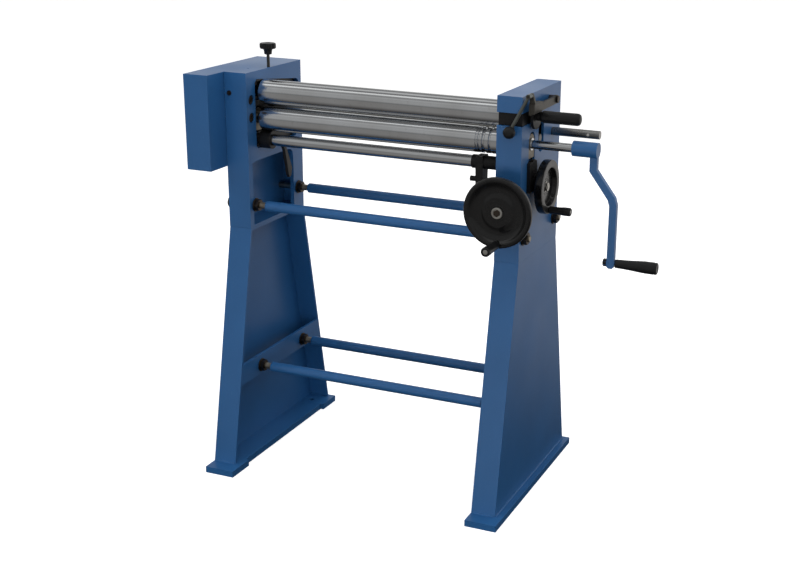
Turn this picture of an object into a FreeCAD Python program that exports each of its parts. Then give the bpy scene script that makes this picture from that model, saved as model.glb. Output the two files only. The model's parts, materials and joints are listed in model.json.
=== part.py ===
import FreeCAD, Part
import math
import os
import Sketcher
from FreeCAD import Placement, Rotation, Vector

# Slip roll for bending sheet metal, on two stands.
# X runs along the rolls, +Y points to the back of the machine, +Z is up.
# The origin is on the floor, midway between the two columns. Sizes are in millimetres.

doc = FreeCAD.newDocument("SlipRoll")
sheet = doc.addObject("Spreadsheet::Sheet", "Sizes")

sizes = {
    # columns
    "halfGap": 320, "columnWidth": 60, "columnHalf": 131, "columnTop": 981, "joint": 600,
    "wall": 6, "innerPlate": 10, "windowFront": 114, "windowBack": 82, "windowTop": 763,
    "mouthFront": 91, "mouthBack": 117, "mouthLow": 792,
    # bearing plates behind the openings
    "plateThick": 8, "plateFront": 110, "plateBack": 125, "plateLow": 785, "plateTop": 970,
    # stands
    "standTop": 130, "standHalf": 245, "footThick": 16, "footFront": 286, "footBack": 252,
    "footWidth": 78, "footNotch": 9, "notchFront": 210, "notchBack": 183, "anchorRadius": 7,
    "anchorX": 350, "anchorY": 200, "barLow": 211, "barTall": 51, "barHalf": 185, "barThick": 8,
    # rolls
    "rollRadius": 30, "rollHalf": 312, "rollY": -63, "lowerZ": 864.5, "rollPitch": 64.6,
    "journal": 14, "fit": 0.05, "rearY": -1, "rearZ": 867, "rearJournal": 10,
    # slots in the columns
    "blockHalf": 19.8, "slotHalf": 20, "slotArcZ": 873, "slotLow": 789, "blockLow": 832.5,
    "blockArcZ": 868.5, "rearSlotY": -2, "rearSlotHalf": 18, "rearSlotLow": 836,
    "rearSlotTop": 912, "mouthSlotHalf": 14.75,
    # ball joint that drives the top roll
    "jointBall": 8.5, "jointShaft": 5.5, "jointPin": 2.5, "jointPinHalf": 11.5,
    # top roll fittings
    "swivelX": 350, "swivelHalf": 22, "swivelPin": 6, "neck": 12, "bushRadius": 14.65,
    "discRadius": 29.5, "discStart": 384.5, "discThick": 7, "gripStart": 399, "gripEnd": 494,
    "gripRadius": 14, "gripCore": 7,
    # lift shaft under the lower roll
    "crossZ": 812, "crossRadius": 14, "camRadius": 20, "camThrow": 10, "camInner": 362,
    "camThick": 10, "sectorInner": 340, "sectorThick": 9, "sectorRadius": 72.6,
    # rear roll shaft and swing arms
    "swingY": 78, "swingZ": 870, "swingRadius": 10, "swingEnd": 497, "armInner": 351,
    "armThick": 10, "rackRadius": 135, "pinionRadius": 15,
    # gears behind the cover
    "gearStart": 390, "gearWidth": 14, "gearTeeth": 16, "gearMesh": 30.25, "gearTip": 33.4,
    "gearRoot": 26.6, "toothThick": 5.2, "gearHub": 18,
    "coverOuter": 446, "coverFront": 203, "coverLow": 751, "coverWall": 2,
    # crank
    "crankShaft": 10, "crankHubStart": 478.5, "crankHubEnd": 537, "crankHub": 17.5,
    "crankWide": 17, "crankDeep": 14, "crankNear": 528, "crankFar": 577.5, "crankGripZ": 610,
    "crankGripStart": 588, "crankGripEnd": 686,
    # handwheels
    "wheelX": 345.5, "wheelY": -180, "wheelZ": 728, "wheelRadius": 81, "wheelGripX": 347,
    "wheelGripZ": 657, "wheelGripEnd": 76, "spindle": 8, "wormRadius": 11,
    "sideWheelX": 402, "sideWheelY": -24.5, "sideWheelZ": 760.5, "sideWheelRadius": 63,
    "sideGripY": -30, "sideGripZ": 708, "sideGripEnd": 66,
    # tie rods
    "tieY": 105, "tieUpper": 655, "tieLower": 234, "tubeRadius": 12.5, "tubeHalf": 288,
    "stud": 8, "nutRadius": 15, "nutThick": 10, "washerRadius": 17, "washerThick": 3,
    # latch
    "latchY": 48, "latchZ": 951, "latchX": 392.5, "latchThick": 6, "latchHalf": 9,
    "leverX": 395, "leverZ": 984, "ballX": 357, "ballY": -150, "ballZ": 904, "ballRadius": 14,
    # star knob
    "knobX": -325, "knobY": -17, "knobTop": 1040, "knobRadius": 20,
}
for row, (alias, value) in enumerate(sizes.items(), start=1):
    sheet.set(f"A{row}", str(value))
    sheet.setAlias(f"A{row}", alias)
doc.recompute()

parts = {}


def val(alias):
    """Value of a cell, for places worked out in code."""
    return float(sheet.get(alias))


def cells(expression):
    """Turn words such as halfGap into references to the sheet."""
    words = []
    for word in str(expression).replace("(", " ( ").replace(")", " ) ").split():
        words.append("Sizes." + word if word in sizes else word)
    return " ".join(words)


def bind(obj, **expressions):
    for name, expression in expressions.items():
        obj.setExpression(name.replace("_", "."), cells(expression))


def keep(obj, label):
    """Register an object as the finished piece with this label."""
    obj.Label = label
    parts[label] = obj
    return obj


def box(x, y, z, dx, dy, dz):
    obj = doc.addObject("Part::Box", "Block")
    bind(obj, Length=dx, Width=dy, Height=dz)
    bind(obj, Placement_Base_x=x, Placement_Base_y=y, Placement_Base_z=z)
    return obj


turns = {
    "X": Rotation(Vector(0, 1, 0), 90),
    "Y": Rotation(Vector(1, 0, 0), -90),
    "Z": Rotation(),
}


def rod(axis, x, y, z, radius, length):
    """Cylinder that starts at a point and runs along +X, +Y or +Z."""
    obj = doc.addObject("Part::Cylinder", "Rod")
    obj.Placement = Placement(Vector(), turns[axis])
    bind(obj, Radius=radius, Height=length)
    bind(obj, Placement_Base_x=x, Placement_Base_y=y, Placement_Base_z=z)
    return obj


def hexagon(x, y, z, radius, length):
    """Hexagonal nut or bolt head with its axis along X."""
    obj = doc.addObject("Part::Prism", "Hexagon")
    obj.Polygon = 6
    obj.Placement = Placement(Vector(), turns["X"])
    bind(obj, Circumradius=radius, Height=length)
    bind(obj, Placement_Base_x=x, Placement_Base_y=y, Placement_Base_z=z)
    return obj


def fuse(*shapes):
    if len(shapes) == 1:
        return shapes[0]
    obj = doc.addObject("Part::MultiFuse", "Join")
    obj.Shapes = list(shapes)
    obj.Refine = True
    return obj


def cut(base, *tools):
    obj = doc.addObject("Part::Cut", "Opening")
    obj.Base = base
    obj.Tool = fuse(*tools)
    obj.Refine = True
    return obj


def span(sign, inner, outer):
    """Low end and length along X of a span given outwards from the middle."""
    low = f"{inner}" if sign > 0 else f"-1 * ( {outer} )"
    return low, f"{outer} - ( {inner} )"


def slot(start, length, acrossY, lowZ, highZ, half, round_low=True):
    """Upright slot along X with a round top, and a round bottom where wanted."""
    low = f"{lowZ} + {half}" if round_low else f"{lowZ}"
    pieces = [box(start, f"{acrossY} - {half}", low, length, f"2 * {half}",
                  f"{highZ} - {half} - ( {low} )"),
              rod("X", start, acrossY, f"{highZ} - {half}", half, length)]
    if round_low:
        pieces.append(rod("X", start, acrossY, low, half, length))
    return pieces


def newSketch(body, role, offset=None):
    """Sketch on one of the body's origin planes, moved along the plane's normal."""
    sketch = body.newObject("Sketcher::SketchObject", "Profile")
    plane = [item for item in body.Origin.OriginFeatures if item.Role == role][0]
    sketch.AttachmentSupport = [(plane, "")]
    sketch.MapMode = "FlatFace"
    if offset:
        sketch.setExpression("AttachmentOffset.Base.z", cells(offset))
    return sketch


def drawOutline(sketch, points):
    """Closed outline of straight lines through the points."""
    count = len(points)
    for index in range(count):
        start = Vector(points[index][0], points[index][1], 0)
        following = points[(index + 1) % count]
        end = Vector(following[0], following[1], 0)
        sketch.addGeometry(Part.LineSegment(start, end), False)
    for index in range(count):
        following = (index + 1) % count
        sketch.addConstraint(Sketcher.Constraint("Coincident", index, 2, following, 1))


def slab(name, role, offset, points, length):
    """Flat piece with a straight-sided outline, padded along the plane's normal."""
    body = doc.addObject("PartDesign::Body", name)
    sketch = newSketch(body, role, offset)
    drawOutline(sketch, points)
    feature = body.newObject("PartDesign::Pad", "Pad")
    feature.Profile = sketch
    feature.setExpression("Length", cells(length))
    return body


def turned(name, points, place):
    """Turned piece: half outline of (distance along X, radius), moved to its place."""
    body = doc.addObject("PartDesign::Body", name)
    sketch = newSketch(body, "XZ_Plane")
    drawOutline(sketch, points)
    feature = body.newObject("PartDesign::Revolution", "Turn")
    feature.Profile = sketch
    feature.ReferenceAxis = (sketch, ["H_Axis"])
    feature.Angle = 360
    body.Placement = place
    return body


def along(x, y, z, axis="X"):
    """Place of a turned piece whose own X axis points along +X or towards the front."""
    turn = Rotation() if axis == "X" else Rotation(Vector(0, 0, 1), -90)
    return Placement(Vector(x, y, z), turn)


def teeth(centre, first, step, count, radii, mesh, thick):
    """Corners of straight-flanked gear teeth around a centre, from angle first onwards."""
    root, tip = radii
    flank = math.tan(math.radians(20))
    points = []
    for tooth in range(count):
        middle = first + tooth * step
        for radius, way in ((root, -1), (tip, -1), (tip, 1), (root, 1)):
            half = thick / 2 - (radius - mesh) * flank
            angle = middle + way * half / radius
            points.append((centre[0] + radius * math.cos(angle),
                           centre[1] + radius * math.sin(angle)))
    return points


def stand(sign, label):
    """Tapered channel, open towards the other stand, on a foot plate, with its tie bar."""
    wall, top, foot = val("wall"), val("standTop"), val("standHalf")
    low, high = val("footThick"), val("joint")
    slope = (foot - top) / (high - low)
    inset = wall * math.hypot(1, slope)
    outline = [(-foot, low), (foot, low), (top, high), (-top, high)]
    lowHalf = foot - inset
    highHalf = top + slope * wall - inset
    hollow = [(-lowHalf, low), (lowHalf, low), (highHalf, high - wall), (-highHalf, high - wall)]
    start, length = span(sign, "halfGap", "halfGap + columnWidth")
    shell = slab("StandShell", "YZ_Plane", start, outline, length)
    start, length = span(sign, "halfGap - 1", "halfGap + columnWidth - wall")
    inside = slab("StandHollow", "YZ_Plane", start, hollow, length)
    footStart = "halfGap" if sign > 0 else "-1 * ( halfGap + columnWidth )"
    plate = box(footStart, "-1 * footFront", "0", "footWidth", "footFront + footBack", "footThick")
    start, length = span(sign, "halfGap", "halfGap + barThick")
    reach, bottom, crown = val("barHalf"), val("barLow"), val("barLow") + val("barTall")
    outline = [(-reach - 18, bottom), (reach + 18, bottom), (reach + 8, crown), (-reach - 8, crown)]
    bar = slab("TieBar", "YZ_Plane", start, outline, length)
    holes = []
    for end in ("", "-1 * "):
        start, length = span(sign, "halfGap - 5", "halfGap + 20")
        holes.append(rod("X", start, f"{end}tieY", "tieLower", "stud + 0.3", length))
        holes.append(rod("Z", f"{sign} * anchorX", f"{end}anchorY", "-5", "anchorRadius",
                         "footThick + wall + 10"))
    base = cut(fuse(cut(shell, inside), plate, bar), *holes)
    if sign < 0:
        edge = "footWidth - halfGap - columnWidth - footNotch"
        notch = box(edge, "-1 * notchFront", "-5", "footNotch + 5", "notchFront + notchBack",
                    "footThick + 5")
        base = cut(base, notch)
    return keep(base, label)


def column(sign, label):
    """Welded housing on top of a stand, with its mouth, window, slots and bores."""
    outer, inner = "halfGap + columnWidth", "halfGap + innerPlate"
    start, length = span(sign, "halfGap", outer)
    shell = box(start, "-1 * columnHalf", "joint", length, "2 * columnHalf", "columnTop - joint")
    start, length = span(sign, inner, f"{outer} - wall")
    hollow = box(start, "wall - columnHalf", "joint + wall", length, "2 * ( columnHalf - wall )",
                 "columnTop - joint - 2 * wall")
    start, length = span(sign, "halfGap - 1", inner + " + 1")
    low, front, back = val("mouthLow"), -val("mouthFront"), val("mouthBack")
    outline = [(front, low + 6), (front + 6, low), (back - 20, low), (back, low + 20),
               (back, 930), (back - 9, 937), (front + 8, 961), (front, 953)]
    mouth = slab("Mouth", "YZ_Plane", start, outline, length)
    front, back, top = -val("windowFront"), val("windowBack"), val("windowTop")
    sill = val("joint") + val("wall")
    outline = [(front, sill), (back, sill), (back, top - 22), (back - 3, top - 10),
               (back - 10, top - 3), (back - 22, top), (front + 21, top), (front, top - 3)]
    window = slab("Window", "YZ_Plane", start, outline, length)
    shell = cut(shell, hollow, mouth, window)
    start, length = span(sign, "halfGap", inner)
    lug = fuse(box(start, "-1 * columnHalf + 2", "tieUpper - 18", length, "columnHalf - 2 - tieY", "36"),
               rod("X", start, "-1 * tieY", "tieUpper", "18", length))
    shell = fuse(shell, lug)
    tools = []
    for end in ("", "-1 * "):
        start, length = span(sign, "halfGap - 5", f"{outer} + 5")
        tools.append(rod("X", start, f"{end}tieY", "tieUpper", "stud + 0.3", length))
    start, length = span(sign, f"{outer} - wall - 1", f"{outer} + 1")
    tools += slot(start, length, "rollY", "slotLow", "slotArcZ + slotHalf", "slotHalf", False)
    if sign > 0:
        tools += slot(start, length, "rearSlotY", "rearSlotLow", "rearSlotTop", "rearSlotHalf")
        tools.append(rod("X", start, "sideWheelY", "sideWheelZ", "spindle + fit", length))
        tools.append(rod("X", start, "swingY", "swingZ", "swingRadius + fit", length))
        tools.append(rod("X", start, "latchY", "latchZ", "5", length))
        start, length = span(sign, "halfGap - 1", f"{outer} + 1")
        height = "lowerZ + rollPitch"
        tools.append(box(start, "-1 * columnHalf - 1", f"{height} - mouthSlotHalf", length,
                         "columnHalf + 1 + rollY", "2 * mouthSlotHalf"))
        tools.append(rod("X", start, "rollY", height, "mouthSlotHalf", length))
        tools.append(rod("Y", "wheelX", "-1 * columnHalf - 1", "wheelZ", "spindle + fit", "wall + 2"))
    else:
        tools.append(rod("X", start, "rollY", "lowerZ + rollPitch", "gearHub + fit", length))
        tools.append(rod("Z", "knobX", "knobY", "columnTop - 60", "4 + fit", "70"))
    return keep(cut(shell, *tools), label)


def bearingPlate(sign, label):
    """Dark plate inside a column that guides the lower block and carries the shafts."""
    inner = "halfGap + innerPlate"
    outer = inner + " + plateThick"
    height = "lowerZ + rollPitch"
    start, length = span(sign, inner, outer)
    plate = box(start, "-1 * plateFront", "plateLow", length, "plateFront + plateBack",
                "plateTop - plateLow")
    start, length = span(sign, inner + " - 1", outer + " + 1")
    tools = slot(start, length, "rollY", "blockLow - 3", "slotArcZ + slotHalf", "slotHalf", False)
    tools += slot(start, length, "rearSlotY", "rearSlotLow", "rearSlotTop", "rearSlotHalf")
    tools.append(rod("X", start, "rollY", "crossZ", "crossRadius + fit", length))
    tools.append(rod("X", start, "swingY", "swingZ", "swingRadius + fit", length))
    if sign > 0:
        tools.append(box(start, "-1 * plateFront - 1", f"{height} - mouthSlotHalf", length,
                         "plateFront + 1 + rollY", "2 * mouthSlotHalf"))
        tools.append(rod("X", start, "rollY", height, "mouthSlotHalf", length))
        return keep(cut(plate, *tools), label)
    tools.append(box(start, "rollY - 24", f"{height} - 24", length, "48", "48"))
    ears = []
    for low in (f"{height} - swivelHalf - 11", f"{height} + swivelHalf + 1"):
        ears.append(box("-1 * swivelX - 11", "rollY - 15", low, "swivelX + 11 - halfGap - innerPlate",
                        "30", "10"))
    pin = rod("Z", "-1 * swivelX", "rollY", f"{height} - swivelHalf - 12", "swivelPin + fit",
              "2 * swivelHalf + 24")
    return keep(cut(fuse(cut(plate, *tools), *ears), pin), label)


def rolls():
    radius, half, journal = val("rollRadius"), val("rollHalf"), val("journal")
    y, lowZ = val("rollY"), val("lowerZ")
    edge, neck = 2, val("neck")
    outline = [(-362, 0), (-362, journal), (-half, journal), (-half, radius - edge),
               (-half + edge, radius), (half - edge, radius), (half, radius - edge),
               (half, neck), (389, neck), (389, 0)]
    shaft = turned("TopRoll", outline, along(0, y, lowZ + val("rollPitch")))
    height = "lowerZ + rollPitch"
    hollow = rod("X", "-363", "rollY", height, "jointBall + 0.3", "23")
    groove = box("-363", "rollY - jointPinHalf - 0.5", f"{height} - jointPin - 0.25", "19",
                 "2 * jointPinHalf + 1", "2 * jointPin + 0.5")
    keep(cut(shaft, hollow, groove), "top_roll")

    crank = val("crankShaft")
    outline = [(-406, 0), (-406, crank), (-390, crank), (-390, journal), (-half, journal),
               (-half, radius - edge), (-half + edge, radius)]
    for centre, wide in ((254, 2), (260.5, 2.6), (271.5, 4), (287, 3)):
        outline += [(centre - wide, radius), (centre, radius - wide), (centre + wide, radius)]
    outline += [(half - edge, radius), (half, radius - edge), (half, journal), (381, journal),
                (381, crank), (520, crank), (520, 0)]
    keep(turned("LowerRoll", outline, along(0, y, lowZ)), "lower_roll")

    rear = val("rearJournal")
    outline = [(-373, 0), (-373, rear), (-half, rear), (-half, radius - edge),
               (-half + edge, radius), (half - edge, radius), (half, radius - edge),
               (half, rear), (378, rear), (378, 0)]
    keep(turned("RearRoll", outline, along(0, val("rearY"), val("rearZ"))), "rear_roll")


def lowerBlock(sign, label):
    """Sliding block with a rounded head that carries a journal of the lower roll."""
    start, length = span(sign, "halfGap + innerPlate", "halfGap + columnWidth - 1")
    body = fuse(
        box(start, "rollY - blockHalf", "blockLow", length, "2 * blockHalf", "blockArcZ - blockLow"),
        rod("X", start, "rollY", "blockArcZ", "blockHalf", length))
    start, length = span(sign, "halfGap + 1", "halfGap + columnWidth + 5")
    return keep(cut(body, rod("X", start, "rollY", "lowerZ", "journal + fit", length)), label)


def topFittings():
    """Swivel carrier on the left, flanged bush and hand grip on the right."""
    height = "lowerZ + rollPitch"
    carrier = box("-1 * swivelX - 10", "rollY - swivelHalf", f"{height} - swivelHalf", "20",
                  "2 * swivelHalf", "2 * swivelHalf")
    pins = rod("Z", "-1 * swivelX", "rollY", f"{height} - swivelHalf - 10", "swivelPin",
               "2 * swivelHalf + 20")
    bore = rod("X", "-1 * swivelX - 20", "rollY", height, "journal + fit", "40")
    keep(cut(fuse(carrier, pins), bore), "top_swivel")

    bush = fuse(
        rod("X", "313.5", "rollY", height, "bushRadius", "discStart - 313.5"),
        rod("X", "discStart", "rollY", height, "discRadius", "discThick"),
        rod("X", "discStart", "rollY", height, "10", "gripStart - discStart"),
        rod("X", "discStart", "rollY", height, "gripCore", "gripEnd - discStart - 8"))
    bore = rod("X", "305", "rollY", height, "neck + fit", "389.5 - 305")
    keep(cut(bush, bore), "top_bush")

    long, grip, core = val("gripEnd") - val("gripStart"), val("gripRadius"), val("gripCore")
    outline = [(0, core), (0, grip - 3), (4, grip - 2.5), (6, grip), (long - 7, grip), (long - 3, grip - 2),
               (long - 0.8, grip - 5.5), (long, grip - 9), (long, 0), (long - 8, 0),
               (long - 8, core)]
    place = along(val("gripStart"), val("rollY"), val("lowerZ") + val("rollPitch"))
    keep(turned("TopGrip", outline, place), "top_grip")


def liftShaft():
    """Shaft under the lower roll with a cam at each end, its worm sector and its arms."""
    y, z = val("rollY"), val("crossZ")
    pieces = [rod("X", "-372", "rollY", "crossZ", "crossRadius", "758")]
    for sign in (-1, 1):
        start, length = span(sign, "camInner", "camInner + camThick")
        pieces.append(rod("X", start, "rollY + camThrow", "crossZ", "camRadius", length))
    keep(fuse(*pieces), "lift_shaft")

    step = 2 * math.pi / 57.6
    tip = val("sectorRadius")
    first = math.radians(270 - 29) + step / 2
    rim = teeth((y, z), first, step, 5, (tip - 3, tip), tip - 1.4, 4.2)
    start, end = math.radians(270 - 29), math.radians(270 + 6)
    outline = [(y + 10, z), (y - 10, z),
               (y + (tip - 3) * math.cos(start), z + (tip - 3) * math.sin(start))] + rim
    outline.append((y + (tip - 3) * math.cos(end), z + (tip - 3) * math.sin(end)))
    web = slab("WormSector", "YZ_Plane", "sectorInner", outline, "sectorThick")
    hub = rod("X", "sectorInner", "rollY", "crossZ", "18", "sectorThick")
    bore = rod("X", "sectorInner - 5", "rollY", "crossZ", "crossRadius", "30")
    keep(cut(fuse(web, hub), bore), "lift_sector")

    outline = [(y - 14, z - 67), (y + 14, z - 67), (y + 17, z - 12), (y + 17, z + 16),
               (y - 17, z + 16), (y - 17, z - 12)]
    bar = slab("LiftArm", "YZ_Plane", "250", outline, "18")
    pieces = [bar, rod("X", "267", "rollY", "crossZ", "15.5", "52.5"),
              rod("X", "238", "rollY", "crossZ", "16", "13"),
              rod("X", "232", "rollY", "771", "6.25", "20")]
    bore = rod("X", "220", "rollY", "crossZ", "crossRadius", "110")
    keep(cut(fuse(*pieces), bore), "lift_arm_right")

    outline = [(y - 3, z - 10), (y + 6, z - 22), (y + 11, z - 42), (y + 17, z - 67),
               (y + 21, z - 88), (y + 26, z - 96), (y + 34, z - 93), (y + 39, z - 74),
               (y + 30, z - 52), (y + 19, z - 30), (y + 12, z - 12), (y + 9, z - 6)]
    bar = slab("LiftArm", "YZ_Plane", "-270", outline, "8")
    bore = rod("X", "-300", "rollY", "crossZ", "crossRadius", "80")
    keep(cut(bar, bore), "lift_arm_left")
    collar = rod("X", "-319.5", "rollY", "crossZ", "22", "29.5")
    bore = rod("X", "-340", "rollY", "crossZ", "crossRadius", "80")
    keep(cut(collar, bore), "lift_collar")

    outer = "halfGap + columnWidth"
    plate = box(outer, "-92", "757", "8", "45", "69")
    hole = rod("X", f"{outer} - 1", "rollY", "crossZ", "crossRadius + fit", "7.5")
    round_ = rod("X", outer, "rollY", "crossZ", "18", "8")
    bolt = hexagon(f"{outer} + 8", "rollY", "797", "9.5", "6.5")
    keep(fuse(cut(fuse(plate, round_), hole), bolt), "lift_end_plate")


def rearShaft():
    """Shaft with a cross hole, the two arms of the rear roll and the toothed quadrant."""
    near, far = (val("rearY"), val("rearZ")), (val("swingY"), val("swingZ"))
    shaft = rod("X", "-372", "swingY", "swingZ", "swingRadius", "swingEnd + 372")
    hole = rod("Y", "swingEnd - 27", "swingY - 20", "swingZ", "3.5", "40")
    ring = cut(rod("X", "380.5", "swingY", "swingZ", "swingRadius + 2", "2"),
               rod("X", "380", "swingY", "swingZ", "swingRadius - 1", "3"))
    keep(cut(shaft, hole, ring), "rear_shaft")
    for sign, label in ((-1, "rear_arm_left"), (1, "rear_arm_right")):
        start, length = span(sign, "armInner", "armInner + armThick")
        outline = [(near[0], near[1] - 16), (far[0], far[1] - 18), (far[0], far[1] + 18),
                   (near[0], near[1] + 16)]
        pieces = [slab("SwingArm", "YZ_Plane", start, outline, length),
                  rod("X", start, "rearY", "rearZ", "18", length),
                  rod("X", start, "swingY", "swingZ", "20", length)]
        if sign > 0:
            step = 2 * math.pi / 108
            mesh = val("rackRadius")
            contact = math.atan2(val("sideWheelZ") - far[1], val("sideWheelY") - far[0])
            first = contact + step / 2 - step
            rim = teeth(far, first, step, 8, (mesh - 2.8, mesh + 1.6), mesh, 3.0)
            outline = [(far[0] - 12, far[1])] + rim + [(far[0] + 12, far[1])]
            pieces.append(slab("Quadrant", "YZ_Plane", start, outline, length))
        low, long = span(sign, "armInner - 2", "armInner + armThick + 2")
        tools = [rod("X", low, "rearY", "rearZ", "rearJournal + fit", long),
                 rod("X", low, "swingY", "swingZ", "swingRadius", long)]
        keep(cut(fuse(*pieces), *tools), label)


def gears():
    """The pair of gears that drives the top roll from the lower one."""
    count = int(val("gearTeeth"))
    step = 2 * math.pi / count
    y, lowZ = val("rollY"), val("lowerZ")
    topZ = lowZ + val("rollPitch")
    radii = (val("gearRoot"), val("gearTip"))
    mesh, thick = val("gearMesh"), val("toothThick")
    start = "-1 * ( gearStart + gearWidth )"
    outline = teeth((y, lowZ), math.pi / 2, step, count, radii, mesh, thick)
    body = slab("LowerGear", "YZ_Plane", start, outline, "gearWidth")
    bore = rod("X", f"{start} - 5", "rollY", "lowerZ", "crankShaft", "gearWidth + 10")
    keep(cut(body, bore), "gear_lower")
    outline = teeth((y, topZ), -math.pi / 2 + step / 2, step, count, radii, mesh, thick)
    body = slab("TopGear", "YZ_Plane", start, outline, "gearWidth")
    hub = rod("X", "-391", "rollY", "lowerZ + rollPitch", "gearHub", "24")
    # the ball and cross pin sit inside the top roll's journal, on the swing pin's axis
    shaft = rod("X", "-368", "rollY", "lowerZ + rollPitch", "jointShaft", "18")
    head = doc.addObject("Part::Sphere", "JointBall")
    bind(head, Radius="jointBall")
    head.Placement = Placement(Vector(-val("swivelX"), y, topZ), Rotation())
    pin = rod("Y", "-1 * swivelX", "rollY - jointPinHalf", "lowerZ + rollPitch", "jointPin",
              "2 * jointPinHalf")
    keep(fuse(body, hub, shaft, head, pin), "gear_top")


def gearCover():
    """Sheet box over the gears, open towards the column."""
    outer = "halfGap + columnWidth"
    shell = box("-1 * coverOuter", "-1 * coverFront", "coverLow", f"coverOuter - ( {outer} )",
                "coverFront + columnHalf", "columnTop - coverLow")
    hollow = box("coverWall - coverOuter", "coverWall - coverFront", "coverLow + coverWall",
                 f"coverOuter - ( {outer} ) + 5", "coverFront + columnHalf - 2 * coverWall",
                 "columnTop - coverLow - 2 * coverWall")
    lip = box(f"-1 * ( {outer} ) - coverWall", "-1 * coverFront", "coverLow", "coverWall",
              "coverFront - columnHalf", "columnTop - coverLow")
    keep(fuse(cut(shell, hollow), lip), "gear_cover")


def crank():
    """Cranked flat bar with its hub, and a grip that turns on its pin."""
    y, z = val("rollY"), val("lowerZ")
    near, far, half = val("crankNear"), val("crankFar"), val("crankWide") / 2
    end = val("crankGripZ")
    outline = [(near - half, z + 15), (near - half, 817), (far - half - 4, 756),
               (far - half, 742), (far - half, end - 8), (far - half + 4, end - 12),
               (far + half - 4, end - 12), (far + half, end - 8), (far + half, 745),
               (far + half - 5, 762), (near + half, 821), (near + half, z + 12),
               (near + half - 3, z + 15)]
    bar = slab("CrankBar", "XZ_Plane", "-1 * rollY - crankDeep / 2", outline, "crankDeep")
    pieces = [bar, rod("X", "crankHubStart", "rollY", "lowerZ", "crankHub", "crankHubEnd - crankHubStart"),
              rod("X", "560", "rollY", "crankGripZ", "8", "12"),
              rod("X", "crankFar", "rollY", "crankGripZ", "5", "crankGripEnd - crankFar - 10")]
    bore = rod("X", "crankHubStart - 5", "rollY", "lowerZ", "crankShaft", "520 - crankHubStart + 5")
    keep(cut(fuse(*pieces), bore), "crank_arm")
    long, inner = val("crankGripEnd") - val("crankGripStart"), 5 + val("fit")
    outline = [(0, inner), (0, 10), (3, 11), (0.6 * long, 12.6), (long - 14, 14), (long - 5, 13.6),
               (long - 1, 11), (long, 8), (long, 0), (long - 9.5, 0), (long - 9.5, inner)]
    keep(turned("CrankGrip", outline, along(val("crankGripStart"), y, end)), "crank_grip")


def wheelOutline(radius, hubBack, bore):
    """Half section of a dished handwheel, from its bore round the rim to the hub nut."""
    return [(hubBack, bore), (hubBack, 17), (-8, 17.5), (-8, radius - 11), (-9, radius - 6),
            (-6, radius - 1.5), (0, radius), (6, radius - 1.5), (9, radius - 5),
            (8, radius - 9), (3, radius - 12), (-1, radius - 17), (-3, 24), (1, 17), (1, bore)]


def gripOutline(start, end, radius, inner):
    return [(start, inner), (start, radius - 2), (start + 3, radius - 0.8), (start + 20, radius - 1.5),
            (end - 16, radius), (end - 4, radius), (end, radius - 3), (end, 0), (end - 5, 0),
            (end - 5, inner)]


def handwheels():
    """Front wheel on the worm shaft and side wheel on the pinion shaft, with their grips."""
    bore, inner = val("spindle"), 4 + val("fit")
    centre = along(val("wheelX"), val("wheelY"), val("wheelZ"), "Y")
    wheel = turned("FrontWheel", wheelOutline(val("wheelRadius"), -24, bore), centre)
    pin = rod("Y", "wheelGripX", "wheelY - wheelGripEnd + 6", "wheelGripZ", "4", "wheelGripEnd - 3")
    seat = rod("Y", "wheelGripX", "wheelY - 10", "wheelGripZ", "8", "14")
    keep(fuse(wheel, pin, seat), "wheel_front")
    keep(fuse(rod("Y", "wheelX", "wheelY - 1", "wheelZ", "spindle", "146"),
              rod("Y", "wheelX", "wheelY - 7", "wheelZ", "13.5", "6"),
              rod("Y", "wheelX", "-90", "wheelZ", "wormRadius", "50")), "wheel_front_shaft")
    flange = rod("Y", "wheelX", "-1 * columnHalf - 12", "wheelZ", "20", "12")
    hole = rod("Y", "wheelX", "-1 * columnHalf - 20", "wheelZ", "spindle + fit", "30")
    keep(cut(flange, hole), "wheel_front_bush")
    place = along(val("wheelGripX"), val("wheelY"), val("wheelGripZ"), "Y")
    keep(turned("FrontGrip", gripOutline(10.5, val("wheelGripEnd"), 11, inner), place),
         "wheel_front_grip")

    centre = along(val("sideWheelX"), val("sideWheelY"), val("sideWheelZ"))
    edge = val("sideWheelRadius")
    outline = [(-9.5, bore), (-9.5, 15), (-4, 17), (-4, edge - 11), (-6, edge - 8), (-6, edge - 2),
               (-4, edge), (11, edge), (13, edge - 2), (13, edge - 17), (11, edge - 19),
               (2, edge - 21), (2, 18), (1, 17), (1, bore)]
    wheel = turned("SideWheel", outline, centre)
    pin = rod("X", "sideWheelX - 3", "sideGripY", "sideGripZ", "4", "sideGripEnd - 3")
    seat = rod("X", "sideWheelX - 4", "sideGripY", "sideGripZ", "7", "17.5")
    keep(fuse(wheel, pin, seat), "wheel_side")
    step = 2 * math.pi / 12
    middle = (val("sideWheelY"), val("sideWheelZ"))
    contact = math.atan2(val("swingZ") - middle[1], val("swingY") - middle[0])
    mesh = val("pinionRadius")
    outline = teeth(middle, contact, step, 12, (mesh - 2.8, mesh + 1.6), mesh, 3.0)
    pinion = slab("Pinion", "YZ_Plane", "armInner", outline, "armThick")
    keep(fuse(pinion, rod("X", "350", "sideWheelY", "sideWheelZ", "spindle", "sideWheelX + 1 - 350"),
              rod("X", "sideWheelX + 1", "sideWheelY", "sideWheelZ", "12", "7")), "wheel_side_shaft")
    flange = rod("X", "halfGap + columnWidth", "sideWheelY", "sideWheelZ", "18", "12")
    hole = rod("X", "halfGap + columnWidth - 5", "sideWheelY", "sideWheelZ", "spindle + fit", "30")
    keep(cut(flange, hole), "wheel_side_bush")
    place = along(val("sideWheelX"), val("sideGripY"), val("sideGripZ"))
    keep(turned("SideGrip", gripOutline(14, val("sideGripEnd"), 10, inner), place),
         "wheel_side_grip")


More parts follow.
